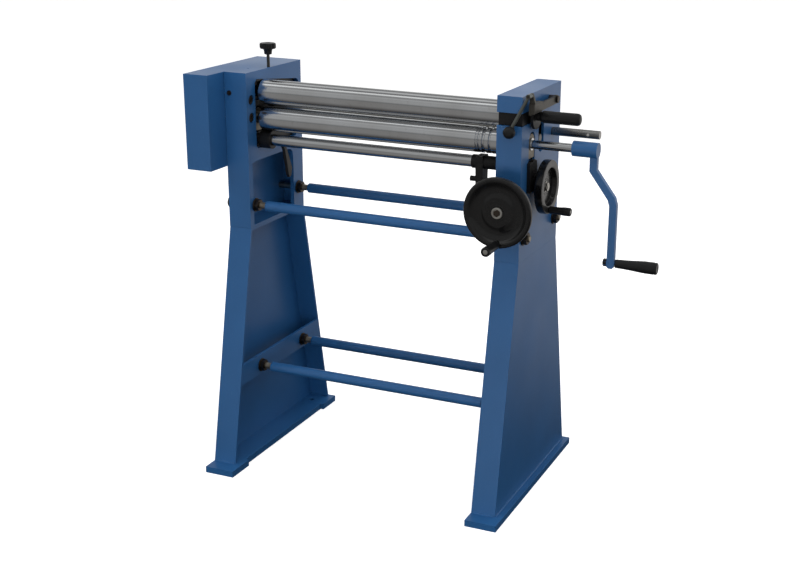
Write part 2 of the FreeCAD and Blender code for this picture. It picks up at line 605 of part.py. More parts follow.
def tieRods():
    """Four tie rods: a tube between the frames and a threaded rod through it with nuts."""
    levels = (("upper", "tieUpper", "halfGap + columnWidth"),
              ("lower", "tieLower", "halfGap + barThick"))
    for level, height, seat in levels:
        for place, across in (("front", "-1 * tieY"), ("rear", "tieY")):
            tube = rod("X", "-1 * tubeHalf", across, height, "tubeRadius", "2 * tubeHalf")
            bore = rod("X", "-1 * tubeHalf - 5", across, height, "stud", "2 * tubeHalf + 10")
            keep(cut(tube, bore), f"tie_tube_{level}_{place}")
            reach = f"{seat} + washerThick + nutThick + 4"
            pieces = [rod("X", f"-1 * ( {reach} )", across, height, "stud", f"2 * ( {reach} )")]
            for sign in (-1, 1):
                inside = "halfGap - washerThick"
                faces = ((seat, f"{seat} + washerThick", f"{seat} + washerThick + nutThick"),
                         (inside, "halfGap", f"{inside} - nutThick"))
                for first, last, far in faces:
                    start, length = span(sign, first, last)
                    pieces.append(rod("X", start, across, height, "washerRadius", length))
                    low, high = (far, first) if far.startswith(inside) else (last, far)
                    start, length = span(sign, low, high)
                    pieces.append(hexagon(start, across, height, "nutRadius", length))
            keep(fuse(*pieces), f"tie_stud_{level}_{place}")


def latch():
    """Bar pivoted at the back over the top roll's neck, with its ball lever."""
    outer = "halfGap + columnWidth"
    bar = box("latchX", "-125", "latchZ - latchHalf - 1", "latchThick", "latchY + 125", "2 * latchHalf")
    eye = rod("X", "latchX", "latchY", "latchZ", "latchHalf + 1", "latchThick")
    head = box("latchX", "-125", "944", "13.5", "53", "22")
    lug = slab("LatchLug", "XZ_Plane", "114", [(392.5, 955), (406, 955), (406, 968), (399, 989),
                                               (392.5, 989)], "8")
    pivot = rod("Y", "leverX", "-141", "leverZ", "3", "23")
    hole = rod("X", "latchX - 5", "latchY", "latchZ", "5 + fit", "40")
    keep(cut(fuse(bar, eye, head, lug, pivot), hole), "latch_bar")
    keep(fuse(rod("X", f"{outer} - wall", "latchY", "latchZ", "5", "29"),
              rod("X", outer, "latchY", "latchZ", "9", "12"),
              rod("X", "399", "latchY", "latchZ", "8.5", "4")), "latch_pin")

    start = Vector(val("leverX"), -134, val("leverZ"))
    end = Vector(val("ballX"), val("ballY"), val("ballZ"))
    hub = rod("Y", "leverX", "-139.5", "leverZ", "5.5", "17")
    stem = doc.addObject("Part::Cylinder", "Stem")
    stem.Radius = 4
    stem.Height = (end - start).Length
    stem.Placement = Placement(start, Rotation(Vector(0, 0, 1), end - start))
    bore = rod("Y", "leverX", "-145", "leverZ", "3 + fit", "40")
    keep(cut(fuse(hub, stem), bore), "latch_lever")
    ball = doc.addObject("Part::Sphere", "Ball")
    bind(ball, Radius="ballRadius")
    ball.Placement = Placement(end, Rotation())
    seat = doc.addObject("Part::Cylinder", "Seat")
    seat.Radius = 4
    seat.Height = stem.Height
    seat.Placement = stem.Placement
    keep(cut(ball, seat), "latch_ball")


def knob():
    """Star knob on a threaded rod through the top of the left column's inner plate."""
    lobes = 6
    outer, inner = val("knobRadius"), val("knobRadius") - 4
    points = []
    for index in range(lobes * 4):
        radius = outer if index % 4 in (0, 1) else inner
        angle = math.radians(360 / (lobes * 4) * index)
        points.append((val("knobX") + radius * math.cos(angle),
                       val("knobY") + radius * math.sin(angle)))
    head = slab("KnobHead", "XY_Plane", "knobTop - 14", points, "14")
    neck = doc.addObject("Part::Cone", "Neck")
    bind(neck, Radius1="9.5", Radius2="13.5", Height="14")
    bind(neck, Placement_Base_x="knobX", Placement_Base_y="knobY", Placement_Base_z="knobTop - 28")
    stem = rod("Z", "knobX", "knobY", "948", "4", "knobTop - 955")
    keep(fuse(head, neck, stem), "star_knob")


stand(-1, "stand_left")
stand(1, "stand_right")
column(-1, "column_left")
column(1, "column_right")
bearingPlate(-1, "bearing_plate_left")
bearingPlate(1, "bearing_plate_right")
rolls()
lowerBlock(-1, "lower_block_left")
lowerBlock(1, "lower_block_right")
topFittings()
liftShaft()
rearShaft()
gears()
gearCover()
crank()
handwheels()
tieRods()
latch()
knob()

doc.recompute()
for item in doc.Objects:
    if "Invalid" in item.State or "Error" in item.State:
        raise RuntimeError(f"{item.Name} {item.Label} failed: {item.State}")
for label, item in parts.items():
    if item.Shape.isNull() or not item.Shape.isValid():
        raise RuntimeError(f"{label} has no valid shape")

os.makedirs("parts", exist_ok=True)
for label, item in parts.items():
    item.Shape.exportStep(os.path.join("parts", label + ".step"))
    bounds = item.Shape.BoundBox
    print(f"{label:24s} solids {len(item.Shape.Solids)} volume {item.Shape.Volume / 1000:9.1f} cm3 "
          f"x {bounds.XMin:.1f} {bounds.XMax:.1f} y {bounds.YMin:.1f} {bounds.YMax:.1f} "
          f"z {bounds.ZMin:.1f} {bounds.ZMax:.1f}")
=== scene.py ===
import json
import math

import bpy
from mathutils import Matrix, Vector


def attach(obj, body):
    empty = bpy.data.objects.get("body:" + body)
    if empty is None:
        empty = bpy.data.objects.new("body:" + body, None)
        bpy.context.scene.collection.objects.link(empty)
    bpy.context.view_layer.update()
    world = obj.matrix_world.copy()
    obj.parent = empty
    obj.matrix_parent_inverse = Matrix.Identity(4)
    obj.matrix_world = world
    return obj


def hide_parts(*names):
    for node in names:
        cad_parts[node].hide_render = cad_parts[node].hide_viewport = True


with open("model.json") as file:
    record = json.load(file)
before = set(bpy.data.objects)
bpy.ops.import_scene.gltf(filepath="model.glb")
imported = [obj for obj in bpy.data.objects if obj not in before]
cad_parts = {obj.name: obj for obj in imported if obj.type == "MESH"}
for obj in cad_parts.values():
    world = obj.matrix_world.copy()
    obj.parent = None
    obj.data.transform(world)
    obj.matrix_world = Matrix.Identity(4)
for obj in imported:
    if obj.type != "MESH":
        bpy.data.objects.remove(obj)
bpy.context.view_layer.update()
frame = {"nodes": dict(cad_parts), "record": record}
nodes = frame["nodes"]
print("frame loaded:", len(nodes), "nodes")


def deselectAll():
    active = bpy.context.view_layer.objects.active
    if active and active.mode != "OBJECT":
        bpy.ops.object.mode_set(mode="OBJECT")
    bpy.ops.object.select_all(action="DESELECT")


def makeActive(obj):
    deselectAll()
    obj.select_set(True)
    bpy.context.view_layer.objects.active = obj


def applyPlace(obj):
    makeActive(obj)
    bpy.ops.object.transform_apply(location=True, rotation=True, scale=True)


def applyModifiers(obj):
    makeActive(obj)
    for modifier in list(obj.modifiers):
        bpy.ops.object.modifier_apply(modifier=modifier.name)


def roundEdges(obj, width, segments, angle=30, edgeSlot=-1):
    bevel = obj.modifiers.new("roundEdges", "BEVEL")
    bevel.width = width
    bevel.segments = segments
    bevel.limit_method = "ANGLE"
    bevel.angle_limit = math.radians(angle)
    bevel.use_clamp_overlap = True
    bevel.material = edgeSlot
    applyModifiers(obj)


def smoothShade(obj, angle):
    # flat faces keep their own direction, so that a rounded edge does not shade them
    makeActive(obj)
    bpy.ops.object.shade_smooth_by_angle(angle=math.radians(angle))
    weights = obj.modifiers.new("weights", "WEIGHTED_NORMAL")
    weights.keep_sharp = True
    weights.weight = 80
    applyModifiers(obj)


def finishPiece(obj, name, body, materials, stands, angle=32):
    # the piece's place goes into its mesh, then it rides on its body
    applyPlace(obj)
    smoothShade(obj, angle)
    obj.name = name
    obj.data.name = name
    if materials:
        obj.data.materials.clear()
        for material in materials:
            obj.data.materials.append(material)
    if stands:
        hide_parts(*stands)
    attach(obj, body)


def joinPieces(objs):
    makeActive(objs[0])
    for obj in objs:
        obj.select_set(True)
    if len(objs) > 1:
        bpy.ops.object.join()
    return bpy.context.view_layer.objects.active


def copyPiece(obj, move):
    double = obj.copy()
    double.data = obj.data.copy()
    bpy.context.collection.objects.link(double)
    double.location = Vector(obj.location) + Vector(move)
    return double


def takeAway(obj, cutters):
    for cutter in cutters:
        opening = obj.modifiers.new("opening", "BOOLEAN")
        opening.operation = "DIFFERENCE"
        opening.object = cutter
        opening.solver = "EXACT"
        applyModifiers(obj)
        bpy.data.objects.remove(cutter, do_unlink=True)


def coatWith(obj, material):
    obj.data.materials.clear()
    obj.data.materials.append(material)
    return obj


# distances in metres below which points merge, and the angle in degrees below which faces do
meshLimits = {"ringMerge": 0.000005, "copyMerge": 0.00001, "flatAngle": 0.5}
axisTurn = {
    "+X": (0, math.pi / 2, 0),
    "-X": (0, -math.pi / 2, 0),
    "-Y": (math.pi / 2, 0, 0),
    "+Y": (-math.pi / 2, 0, 0),
    "+Z": (0, 0, 0),
    "-Z": (math.pi, 0, 0),
}


def turnedPiece(profile, place, axis, segments, closed=False):
    # ring after ring is extruded from a circle; the profile holds (distance, radius) in metres
    deselectAll()
    lastDistance, lastRadius = profile[0]
    fill = "NOTHING" if closed else "NGON"
    bpy.ops.mesh.primitive_circle_add(vertices=segments, radius=lastRadius,
                                      location=(0, 0, 0), fill_type=fill)
    obj = bpy.context.object
    bpy.ops.object.mode_set(mode="EDIT")
    bpy.ops.mesh.select_mode(type="EDGE")
    bpy.ops.mesh.select_all(action="SELECT")
    bpy.ops.transform.translate(value=(0, 0, lastDistance))
    rings = list(profile[1:])
    if closed:
        rings.append(profile[0])
    for distance, radius in rings:
        bpy.ops.mesh.extrude_edges_move(
            TRANSFORM_OT_translate={"value": (0, 0, distance - lastDistance)})
        scale = radius / lastRadius
        bpy.ops.transform.resize(value=(scale, scale, 1), center_override=(0, 0, distance))
        lastDistance, lastRadius = distance, radius
    if not closed:
        bpy.ops.mesh.edge_face_add()
    bpy.ops.mesh.select_all(action="SELECT")
    bpy.ops.mesh.remove_doubles(threshold=meshLimits["ringMerge"])
    bpy.ops.mesh.normals_make_consistent(inside=False)
    bpy.ops.object.mode_set(mode="OBJECT")
    obj.rotation_euler = axisTurn[axis]
    obj.location = place
    applyPlace(obj)
    return obj


def millimetres(points):
    return [(a / 1000, b / 1000) for a, b in points]


def boxPiece(low, high, soften=0):
    deselectAll()
    size = [high[i] - low[i] for i in range(3)]
    middle = [(high[i] + low[i]) / 2 for i in range(3)]
    bpy.ops.mesh.primitive_cube_add(size=1, location=middle, scale=size)
    obj = bpy.context.object
    applyPlace(obj)
    if soften:
        roundEdges(obj, soften, 3)
    return obj


# shares of a nut's radius and length
nutShape = {"endRadius": 0.86, "fullRadius": 1.02, "chamfer": 0.12, "past": 0.02, "edge": 0.03}


def hexPiece(place, axis, radius, length):
    # nut or bolt head with its corners turned off by a chamfer at both ends
    deselectAll()
    bpy.ops.mesh.primitive_cylinder_add(vertices=6, radius=radius, depth=length)
    obj = bpy.context.object
    bpy.ops.object.mode_set(mode="EDIT")
    bpy.ops.mesh.select_all(action="SELECT")
    bpy.ops.transform.translate(value=(0, 0, length / 2))
    bpy.ops.object.mode_set(mode="OBJECT")
    narrow, wide = radius * nutShape["endRadius"], radius * nutShape["fullRadius"]
    past, slope = nutShape["past"], nutShape["chamfer"]
    cutter = turnedPiece([(-length * past, narrow), (length * slope, wide),
                          (length * (1 - slope), wide), (length * (1 + past), narrow)],
                         (0, 0, 0), "+Z", 48)
    chamfer = obj.modifiers.new("chamfer", "BOOLEAN")
    chamfer.operation = "INTERSECT"
    chamfer.object = cutter
    applyModifiers(obj)
    bpy.data.objects.remove(cutter, do_unlink=True)
    roundEdges(obj, radius * nutShape["edge"], 2, 35)
    obj.rotation_euler = axisTurn[axis]
    obj.location = place
    applyPlace(obj)
    return obj


# reach of the unit triangle towards the axis, and the ridge's width as a share of the pitch
ridgeShape = {"reach": 1.3, "width": 0.55}


def threadPiece(place, axis, radius, depth, pitch, turns, steps=20):
    # a small triangle is swept up a helix and closed at its two ends
    deselectAll()
    bpy.ops.mesh.primitive_circle_add(vertices=3, radius=1, fill_type="NOTHING",
                                      rotation=(math.pi / 2, math.pi / 2, 0))
    obj = bpy.context.object
    applyPlace(obj)
    bpy.ops.object.mode_set(mode="EDIT")
    bpy.ops.mesh.select_all(action="SELECT")
    deep = depth / ridgeShape["reach"]
    bpy.ops.transform.resize(value=(deep, 1, pitch * ridgeShape["width"]),
                             center_override=(0, 0, 0))
    bpy.ops.transform.translate(value=(radius - deep, 0, pitch / 2))
    bpy.ops.object.mode_set(mode="OBJECT")
    helix = obj.modifiers.new("helix", "SCREW")
    helix.angle = 2 * math.pi
    helix.screw_offset = pitch
    helix.iterations = turns
    helix.steps = steps
    helix.render_steps = steps
    helix.axis = "Z"
    applyModifiers(obj)
    bpy.ops.object.mode_set(mode="EDIT")
    bpy.ops.mesh.select_mode(type="EDGE")
    bpy.ops.mesh.select_all(action="SELECT")
    bpy.ops.mesh.fill_holes(sides=4)
    bpy.ops.mesh.select_all(action="SELECT")
    bpy.ops.mesh.normals_make_consistent(inside=False)
    bpy.ops.object.mode_set(mode="OBJECT")
    obj.rotation_euler = axisTurn[axis]
    obj.location = place
    applyPlace(obj)
    return obj


def softCopy(node, width, segments, angle=30, edgeSlot=-1, cutters=()):
    # merged copy of a CAD node with its sharp edges rounded
    mesh = nodes[node].data.copy()
    obj = bpy.data.objects.new(node + "Soft", mesh)
    bpy.context.collection.objects.link(obj)
    makeActive(obj)
    bpy.ops.object.mode_set(mode="EDIT")
    bpy.ops.mesh.select_all(action="SELECT")
    bpy.ops.mesh.remove_doubles(threshold=meshLimits["copyMerge"])
    bpy.ops.mesh.dissolve_limited(angle_limit=math.radians(meshLimits["flatAngle"]))
    bpy.ops.object.mode_set(mode="OBJECT")
    if mesh.has_custom_normals:
        bpy.ops.mesh.customdata_custom_splitnormals_clear()
    takeAway(obj, cutters)
    roundEdges(obj, width, segments, angle, edgeSlot)
    return obj


def facesWhere(obj, index, test):
    # faces whose middle passes the test take another of the piece's materials
    for face in obj.data.polygons:
        if test(face.center):
            face.material_index = index


def radiusFrom(centre, axis):
    # distance of a point from a wheel's own axis
    first, second = ((0, 2) if axis == "-Y" else (1, 2))
    return lambda p: math.hypot(p[first] - centre[first], p[second] - centre[second])


def newMaterial(name):
    material = bpy.data.materials.new(name)
    material.use_nodes = True
    tree = material.node_tree
    shader = tree.nodes["Principled BSDF"]
    return material, tree, shader


def addNode(tree, kind, **values):
    node = tree.nodes.new(kind)
    for key, value in values.items():
        if hasattr(node, key):
            setattr(node, key, value)
        else:
            node.inputs[key].default_value = value
    return node


def objectCoords(tree, scale=(1, 1, 1)):
    coords = addNode(tree, "ShaderNodeTexCoord")
    mapping = addNode(tree, "ShaderNodeMapping")
    mapping.inputs["Scale"].default_value = scale
    tree.links.new(coords.outputs["Object"], mapping.inputs["Vector"])
    return mapping.outputs["Vector"]


def noise(tree, vector, scale, detail, rough=0.5):
    node = addNode(tree, "ShaderNodeTexNoise")
    node.inputs["Scale"].default_value = scale
    node.inputs["Detail"].default_value = detail
    node.inputs["Roughness"].default_value = rough
    tree.links.new(vector, node.inputs["Vector"])
    return node.outputs["Fac"]


def rampOf(tree, value, stops):
    node = addNode(tree, "ShaderNodeValToRGB")
    ramp = node.color_ramp
    while len(ramp.elements) < len(stops):
        ramp.elements.new(0.5)
    for element, (place, color) in zip(ramp.elements, stops):
        element.position = place
        element.color = (*color, 1) if len(color) == 3 else color
    tree.links.new(value, node.inputs["Fac"])
    return node.outputs["Color"]


def spread(tree, value, low, high, fromLow=0.3, fromHigh=0.7):
    node = addNode(tree, "ShaderNodeMapRange")
    node.inputs["From Min"].default_value = fromLow
    node.inputs["From Max"].default_value = fromHigh
    node.inputs["To Min"].default_value = low
    node.inputs["To Max"].default_value = high
    tree.links.new(value, node.inputs["Value"])
    return node.outputs["Result"]


# places of the Mix node's color sockets
mixSockets = {"first": 6, "second": 7, "result": 2}


def blendColors(tree, factor, first, second):
    node = addNode(tree, "ShaderNodeMix", data_type="RGBA")
    tree.links.new(factor, node.inputs["Factor"])
    for key, value in (("first", first), ("second", second)):
        socket = node.inputs[mixSockets[key]]
        if isinstance(value, tuple):
            socket.default_value = (*value, 1)
        else:
            tree.links.new(value, socket)
    return node.outputs[mixSockets["result"]]


def bumpOf(tree, height, strength, distance, under=None):
    node = addNode(tree, "ShaderNodeBump")
    node.inputs["Strength"].default_value = strength
    node.inputs["Distance"].default_value = distance
    tree.links.new(height, node.inputs["Height"])
    if under:
        tree.links.new(under, node.inputs["Normal"])
    return node.outputs["Normal"]


# noise values between which each pattern comes in, and relief in metres
noiseBands = {"mottle": (0.3, 0.7), "scuffs": (0.66, 0.74), "tarnish": (0.3, 0.6),
              "spots": (0.6, 0.72)}
relief = {"peel": 0.0006, "fine": 0.0002, "lines": 0.0002}
fineShare = {"scale": 4, "strength": 0.4}


def enamel(name, color, look):
    # sprayed enamel: slight mottling, hairline scuffs, orange peel and a gloss coat
    material, tree, shader = newMaterial(name)
    vector = objectCoords(tree)
    mottle = noise(tree, vector, look["mottleScale"], 4)
    dark = tuple(c * look["dark"] for c in color)
    light = tuple(min(1, c * look["light"]) for c in color)
    paint = rampOf(tree, mottle, list(zip(noiseBands["mottle"], (dark, light))))
    scuffs = noise(tree, objectCoords(tree, look["scuffStretch"]), look["scuffScale"], 2, 0.55)
    shown = spread(tree, scuffs, 0.0, look["scuff"], *noiseBands["scuffs"])
    scuffed = blendColors(tree, shown, paint, look["scuffColor"])
    tree.links.new(scuffed, shader.inputs["Base Color"])
    patch = noise(tree, vector, look["patchScale"], 3)
    rough = spread(tree, patch, look["roughLow"], look["roughHigh"])
    tree.links.new(rough, shader.inputs["Roughness"])
    peel = noise(tree, vector, look["peelScale"], 2)
    fine = noise(tree, vector, look["peelScale"] * fineShare["scale"], 2)
    wave = bumpOf(tree, peel, look["peel"], relief["peel"])
    grain = bumpOf(tree, fine, look["peel"] * fineShare["strength"], relief["fine"], wave)
    tree.links.new(grain, shader.inputs["Normal"])
    shader.inputs["Metallic"].default_value = 0.0
    shader.inputs["Specular IOR Level"].default_value = look["shine"]
    shader.inputs["Coat Weight"].default_value = look["coat"]
    shader.inputs["Coat Roughness"].default_value = look["coatRough"]
    return material


def steel(name, color, look):
    # bright steel with machining lines and thin oil or tarnish in clouds
    material, tree, shader = newMaterial(name)
    lines = noise(tree, objectCoords(tree, look["lineStretch"]), look["lineScale"], 4, 0.6)
    clouds = noise(tree, objectCoords(tree), look["cloudScale"], 4)
    bare = rampOf(tree, clouds, list(zip(noiseBands["tarnish"], (look["tarnish"], color))))
    spots = noise(tree, objectCoords(tree), look["cloudScale"] * 9, 3, 0.6)
    shown = spread(tree, spots, 0.0, look["spots"], *noiseBands["spots"])
    tree.links.new(blendColors(tree, shown, bare, look["spotColor"]), shader.inputs["Base Color"])
    mix = addNode(tree, "ShaderNodeMath", operation="ADD")
    scaled = addNode(tree, "ShaderNodeMath", operation="MULTIPLY")
    scaled.inputs[1].default_value = 0.5
    tree.links.new(lines, mix.inputs[0])
    tree.links.new(clouds, mix.inputs[1])
    tree.links.new(mix.outputs[0], scaled.inputs[0])
    tree.links.new(spread(tree, scaled.outputs[0], look["roughLow"], look["roughHigh"]),
                   shader.inputs["Roughness"])
    tree.links.new(bumpOf(tree, lines, look["lines"], relief["lines"]), shader.inputs["Normal"])
    shader.inputs["Metallic"].default_value = 1.0
    return material


blueLook = {
    "mottleScale": 7, "dark": 0.93, "light": 1.06, "patchScale": 5, "roughLow": 0.3,
    "roughHigh": 0.42, "peelScale": 240, "peel": 0.1,
    "coat": 0.1, "coatRough": 0.16, "shine": 0.45,
    "scuffStretch": (6, 6, 1), "scuffScale": 70, "scuff": 0.1, "scuffColor": (0.12, 0.26, 0.44)}
bluePaint = enamel("bluePaint", (0.0225, 0.112, 0.295), blueLook)
edgePaint = enamel("bluePaintEdge", (0.07, 0.2, 0.42), {
    **blueLook, "mottleScale": 60, "dark": 0.75, "light": 1.2, "scuffStretch": (1, 1, 1),
    "scuffScale": 110, "scuff": 0.55, "scuffColor": (0.2, 0.32, 0.46)})
blackPaint = enamel("blackPaint", (0.0075, 0.0075, 0.008), {
    "mottleScale": 14, "dark": 0.8, "light": 1.25, "patchScale": 12, "roughLow": 0.34,
    "roughHigh": 0.48, "peelScale": 320, "peel": 0.16,
    "coat": 0.06, "coatRough": 0.25, "shine": 0.28,
    "scuffStretch": (1, 5, 5), "scuffScale": 60, "scuff": 0.12, "scuffColor": (0.07, 0.066, 0.06)})
castLook = {
    "mottleScale": 20, "dark": 0.8, "light": 1.3, "patchScale": 18, "roughLow": 0.2,
    "roughHigh": 0.3, "peelScale": 200, "peel": 0.05,
    "coat": 0.45, "coatRough": 0.09, "shine": 0.2,
    "scuffStretch": (4, 4, 4), "scuffScale": 40, "scuff": 0.08, "scuffColor": (0.06, 0.058, 0.055)}
blackCasting = enamel("blackCasting", (0.0058, 0.0058, 0.0061), castLook)
wornRim = enamel("blackCastingWorn", (0.02, 0.02, 0.0205), {
    **castLook, "roughLow": 0.3, "roughHigh": 0.45,
    "scuff": 0.5, "scuffColor": (0.12, 0.115, 0.108)})
blackPlastic = enamel("blackPlastic", (0.0075, 0.0078, 0.0084), {
    "mottleScale": 30, "dark": 0.85, "light": 1.2, "patchScale": 30, "roughLow": 0.26,
    "roughHigh": 0.4, "peelScale": 400, "peel": 0.08,
    "coat": 0.12, "coatRough": 0.16, "shine": 0.3,
    "scuffStretch": (2, 2, 2), "scuffScale": 90, "scuff": 0.05, "scuffColor": (0.06, 0.06, 0.06)})
rollSteel = steel("rollSteel", (0.7, 0.72, 0.745), {
    "lineStretch": (60, 1, 1), "lineScale": 28, "cloudScale": 9, "tarnish": (0.62, 0.63, 0.64),
    "spots": 0.12, "spotColor": (0.36, 0.33, 0.29),
    "roughLow": 0.07, "roughHigh": 0.14, "lines": 0.5})
# painted shade: a darkened copy of the roll steel, since the rear roll shows only in the shaded
# gap behind the front rolls
shadedRearSteel = steel("rearRollSteelPaintedShade", (0.17, 0.168, 0.162), {
    "lineStretch": (60, 1, 1), "lineScale": 28, "cloudScale": 12, "tarnish": (0.12, 0.116, 0.108),
    "spots": 0.3, "spotColor": (0.12, 0.105, 0.085),
    "roughLow": 0.26, "roughHigh": 0.38, "lines": 0.4})
shaftSteel = steel("shaftSteel", (0.38, 0.38, 0.375), {
    "lineStretch": (50, 1, 1), "lineScale": 50, "cloudScale": 25, "tarnish": (0.28, 0.275, 0.265),
    "spots": 0.3, "spotColor": (0.2, 0.17, 0.135),
    "roughLow": 0.22, "roughHigh": 0.36, "lines": 0.2})
rodSteel = steel("rodSteel", (0.2, 0.215, 0.2), {
    "lineStretch": (1, 1, 1), "lineScale": 160, "cloudScale": 30, "tarnish": (0.14, 0.15, 0.135),
    "spots": 0.25, "spotColor": (0.16, 0.15, 0.12),
    "roughLow": 0.26, "roughHigh": 0.4, "lines": 0.1})
nutSteel = steel("nutSteel", (0.11, 0.09, 0.072), {
    "lineStretch": (1, 1, 1), "lineScale": 260, "cloudScale": 60, "tarnish": (0.05, 0.042, 0.038),
    "spots": 0.5, "spotColor": (0.15, 0.09, 0.045),
    "roughLow": 0.34, "roughHigh": 0.52, "lines": 0.2})
zincSteel = steel("zincSteel", (0.6, 0.59, 0.56), {
    "lineStretch": (1, 1, 1), "lineScale": 220, "cloudScale": 40, "tarnish": (0.48, 0.465, 0.43),
    "spots": 0.3, "spotColor": (0.3, 0.24, 0.17),
    "roughLow": 0.26, "roughHigh": 0.4, "lines": 0.1})
brassyStud = steel("platedStud", (0.42, 0.38, 0.31), {
    "lineStretch": (1, 1, 1), "lineScale": 220, "cloudScale": 60, "tarnish": (0.3, 0.26, 0.2),
    "spots": 0.4, "spotColor": (0.3, 0.16, 0.1),
    "roughLow": 0.28, "roughHigh": 0.44, "lines": 0.15})
oiledSteel = steel("oiledSteel", (0.2, 0.182, 0.15), {
    "lineStretch": (1, 1, 8), "lineScale": 60, "cloudScale": 30, "tarnish": (0.17, 0.15, 0.12),
    "spots": 0.5, "spotColor": (0.08, 0.066, 0.05),
    "roughLow": 0.32, "roughHigh": 0.52, "lines": 0.3})
barSteel = steel("barSteel", (0.125, 0.12, 0.108), {
    "lineStretch": (1, 1, 6), "lineScale": 90, "cloudScale": 26, "tarnish": (0.08, 0.076, 0.068),
    "spots": 0.4, "spotColor": (0.12, 0.1, 0.08),
    "roughLow": 0.38, "roughHigh": 0.55, "lines": 0.2})
gearSteel = steel("gearSteel", (0.4, 0.4, 0.39), {
    "lineStretch": (30, 1, 1), "lineScale": 80, "cloudScale": 40, "tarnish": (0.28, 0.27, 0.25),
    "spots": 0.4, "spotColor": (0.12, 0.1, 0.075),
    "roughLow": 0.35, "roughHigh": 0.55, "lines": 0.2})
print("materials made")

finishOf = {
    "blue_paint": bluePaint, "black_paint": blackPaint, "black_casting": blackCasting,
    "ground_steel": rollSteel, "turned_steel": shaftSteel, "black_plastic": blackPlastic,
    "dark_steel": nutSteel, "oiled_steel": oiledSteel,
}
bodyOf = {}
for body, names in frame["record"]["behaviour"]["bodies"].items():
    for name in names:
        bodyOf[name] = body
slotOf = {part["node"]: part["material_slot"] for part in frame["record"]["subparts"]}

view = {
    "place": (1.36112, -2.825172, 1.472651), "turn": 21.31, "down": 17.612, "roll": 1.146,
    "lens": 59.4, "shiftX": -0.11175, "shiftY": -0.0101,
}


def makeCamera():
    turn, down, roll = (math.radians(view[key]) for key in ("turn", "down", "roll"))
    forward = Vector((-math.sin(turn) * math.cos(down), math.cos(turn) * math.cos(down),
                      -math.sin(down)))
    right = Vector((math.cos(turn), math.sin(turn), 0))
    up = right.cross(forward)
    across = right * math.cos(roll) + up * math.sin(roll)
    above = up * math.cos(roll) - right * math.sin(roll)
    deselectAll()
    bpy.ops.object.camera_add()
    camera = bpy.context.object
    camera.name = "photoCamera"
    matrix = Matrix((across, above, -forward)).transposed().to_4x4()
    matrix.translation = Vector(view["place"])
    camera.matrix_world = matrix
    camera.data.lens = view["lens"]
    camera.data.sensor_width = 36
    camera.data.shift_x = view["shiftX"]
    camera.data.shift_y = view["shiftY"]
    camera.data.clip_end = 200
    bpy.context.scene.camera = camera


# below: brightness of the floor's reflected glow along Y, a painted shadow that is darkest under
# the machine
floorLook = {
    "size": 80, "pale": (0.9, 0.9, 0.9), "glow": 0.66, "front": -1.3, "back": 3.0,
    "below": [(0.0, 0.25), (0.1, 0.2), (0.172, 0.11), (0.219, 0.06), (0.254, 0.03), (0.288, 0.02),
              (0.323, 0.03), (0.358, 0.05), (0.405, 0.11), (0.474, 0.22), (0.567, 0.36),
              (1.0, 0.7)]}


def makeFloor():
    # white to the eye; its reflection in the steel is a dimmer glow, darkened towards the ground
    # under the machine as a painted shadow
    deselectAll()
    bpy.ops.mesh.primitive_plane_add(size=floorLook["size"], location=(0, 0, 0))
    floor = bpy.context.object
    floor.name = "floor"
    bpy.ops.object.mode_set(mode="EDIT")
    bpy.ops.mesh.subdivide(number_cuts=6)
    bpy.ops.object.mode_set(mode="OBJECT")
    applyPlace(floor)
    material, tree, shader = newMaterial("studioFloor")
    patches = noise(tree, objectCoords(tree), 2.5, 3)
    tree.links.new(rampOf(tree, patches, [(0.3, floorLook["pale"]), (0.7, (0.92, 0.92, 0.92))]),
                   shader.inputs["Base Color"])
    shader.inputs["Roughness"].default_value = 0.9
    shader.inputs["Specular IOR Level"].default_value = 0.1
    shader.inputs["Emission Color"].default_value = (1, 1, 1, 1)
    shader.inputs["Emission Strength"].default_value = floorLook["glow"]
    axes = addNode(tree, "ShaderNodeSeparateXYZ")
    tree.links.new(objectCoords(tree), axes.inputs[0])
    # painted shadow: the steel reflects this glow, which is darkest beneath the machine
    share = spread(tree, axes.outputs["Y"], 0, 1, floorLook["front"], floorLook["back"])
    shade = rampOf(tree, share, [(at, (v, v * 0.97, v * 0.94)) for at, v in floorLook["below"]])
    paintedShadowGlow = addNode(tree, "ShaderNodeEmission")
    tree.links.new(shade, paintedShadowGlow.inputs["Color"])
    path = addNode(tree, "ShaderNodeLightPath")
    pick = addNode(tree, "ShaderNodeMixShader")
    tree.links.new(path.outputs["Is Camera Ray"], pick.inputs["Fac"])
    tree.links.new(paintedShadowGlow.outputs[0], pick.inputs[1])
    tree.links.new(shader.outputs[0], pick.inputs[2])
    tree.links.new(pick.outputs[0], tree.nodes["Material Output"].inputs["Surface"])
    floor.data.materials.append(material)


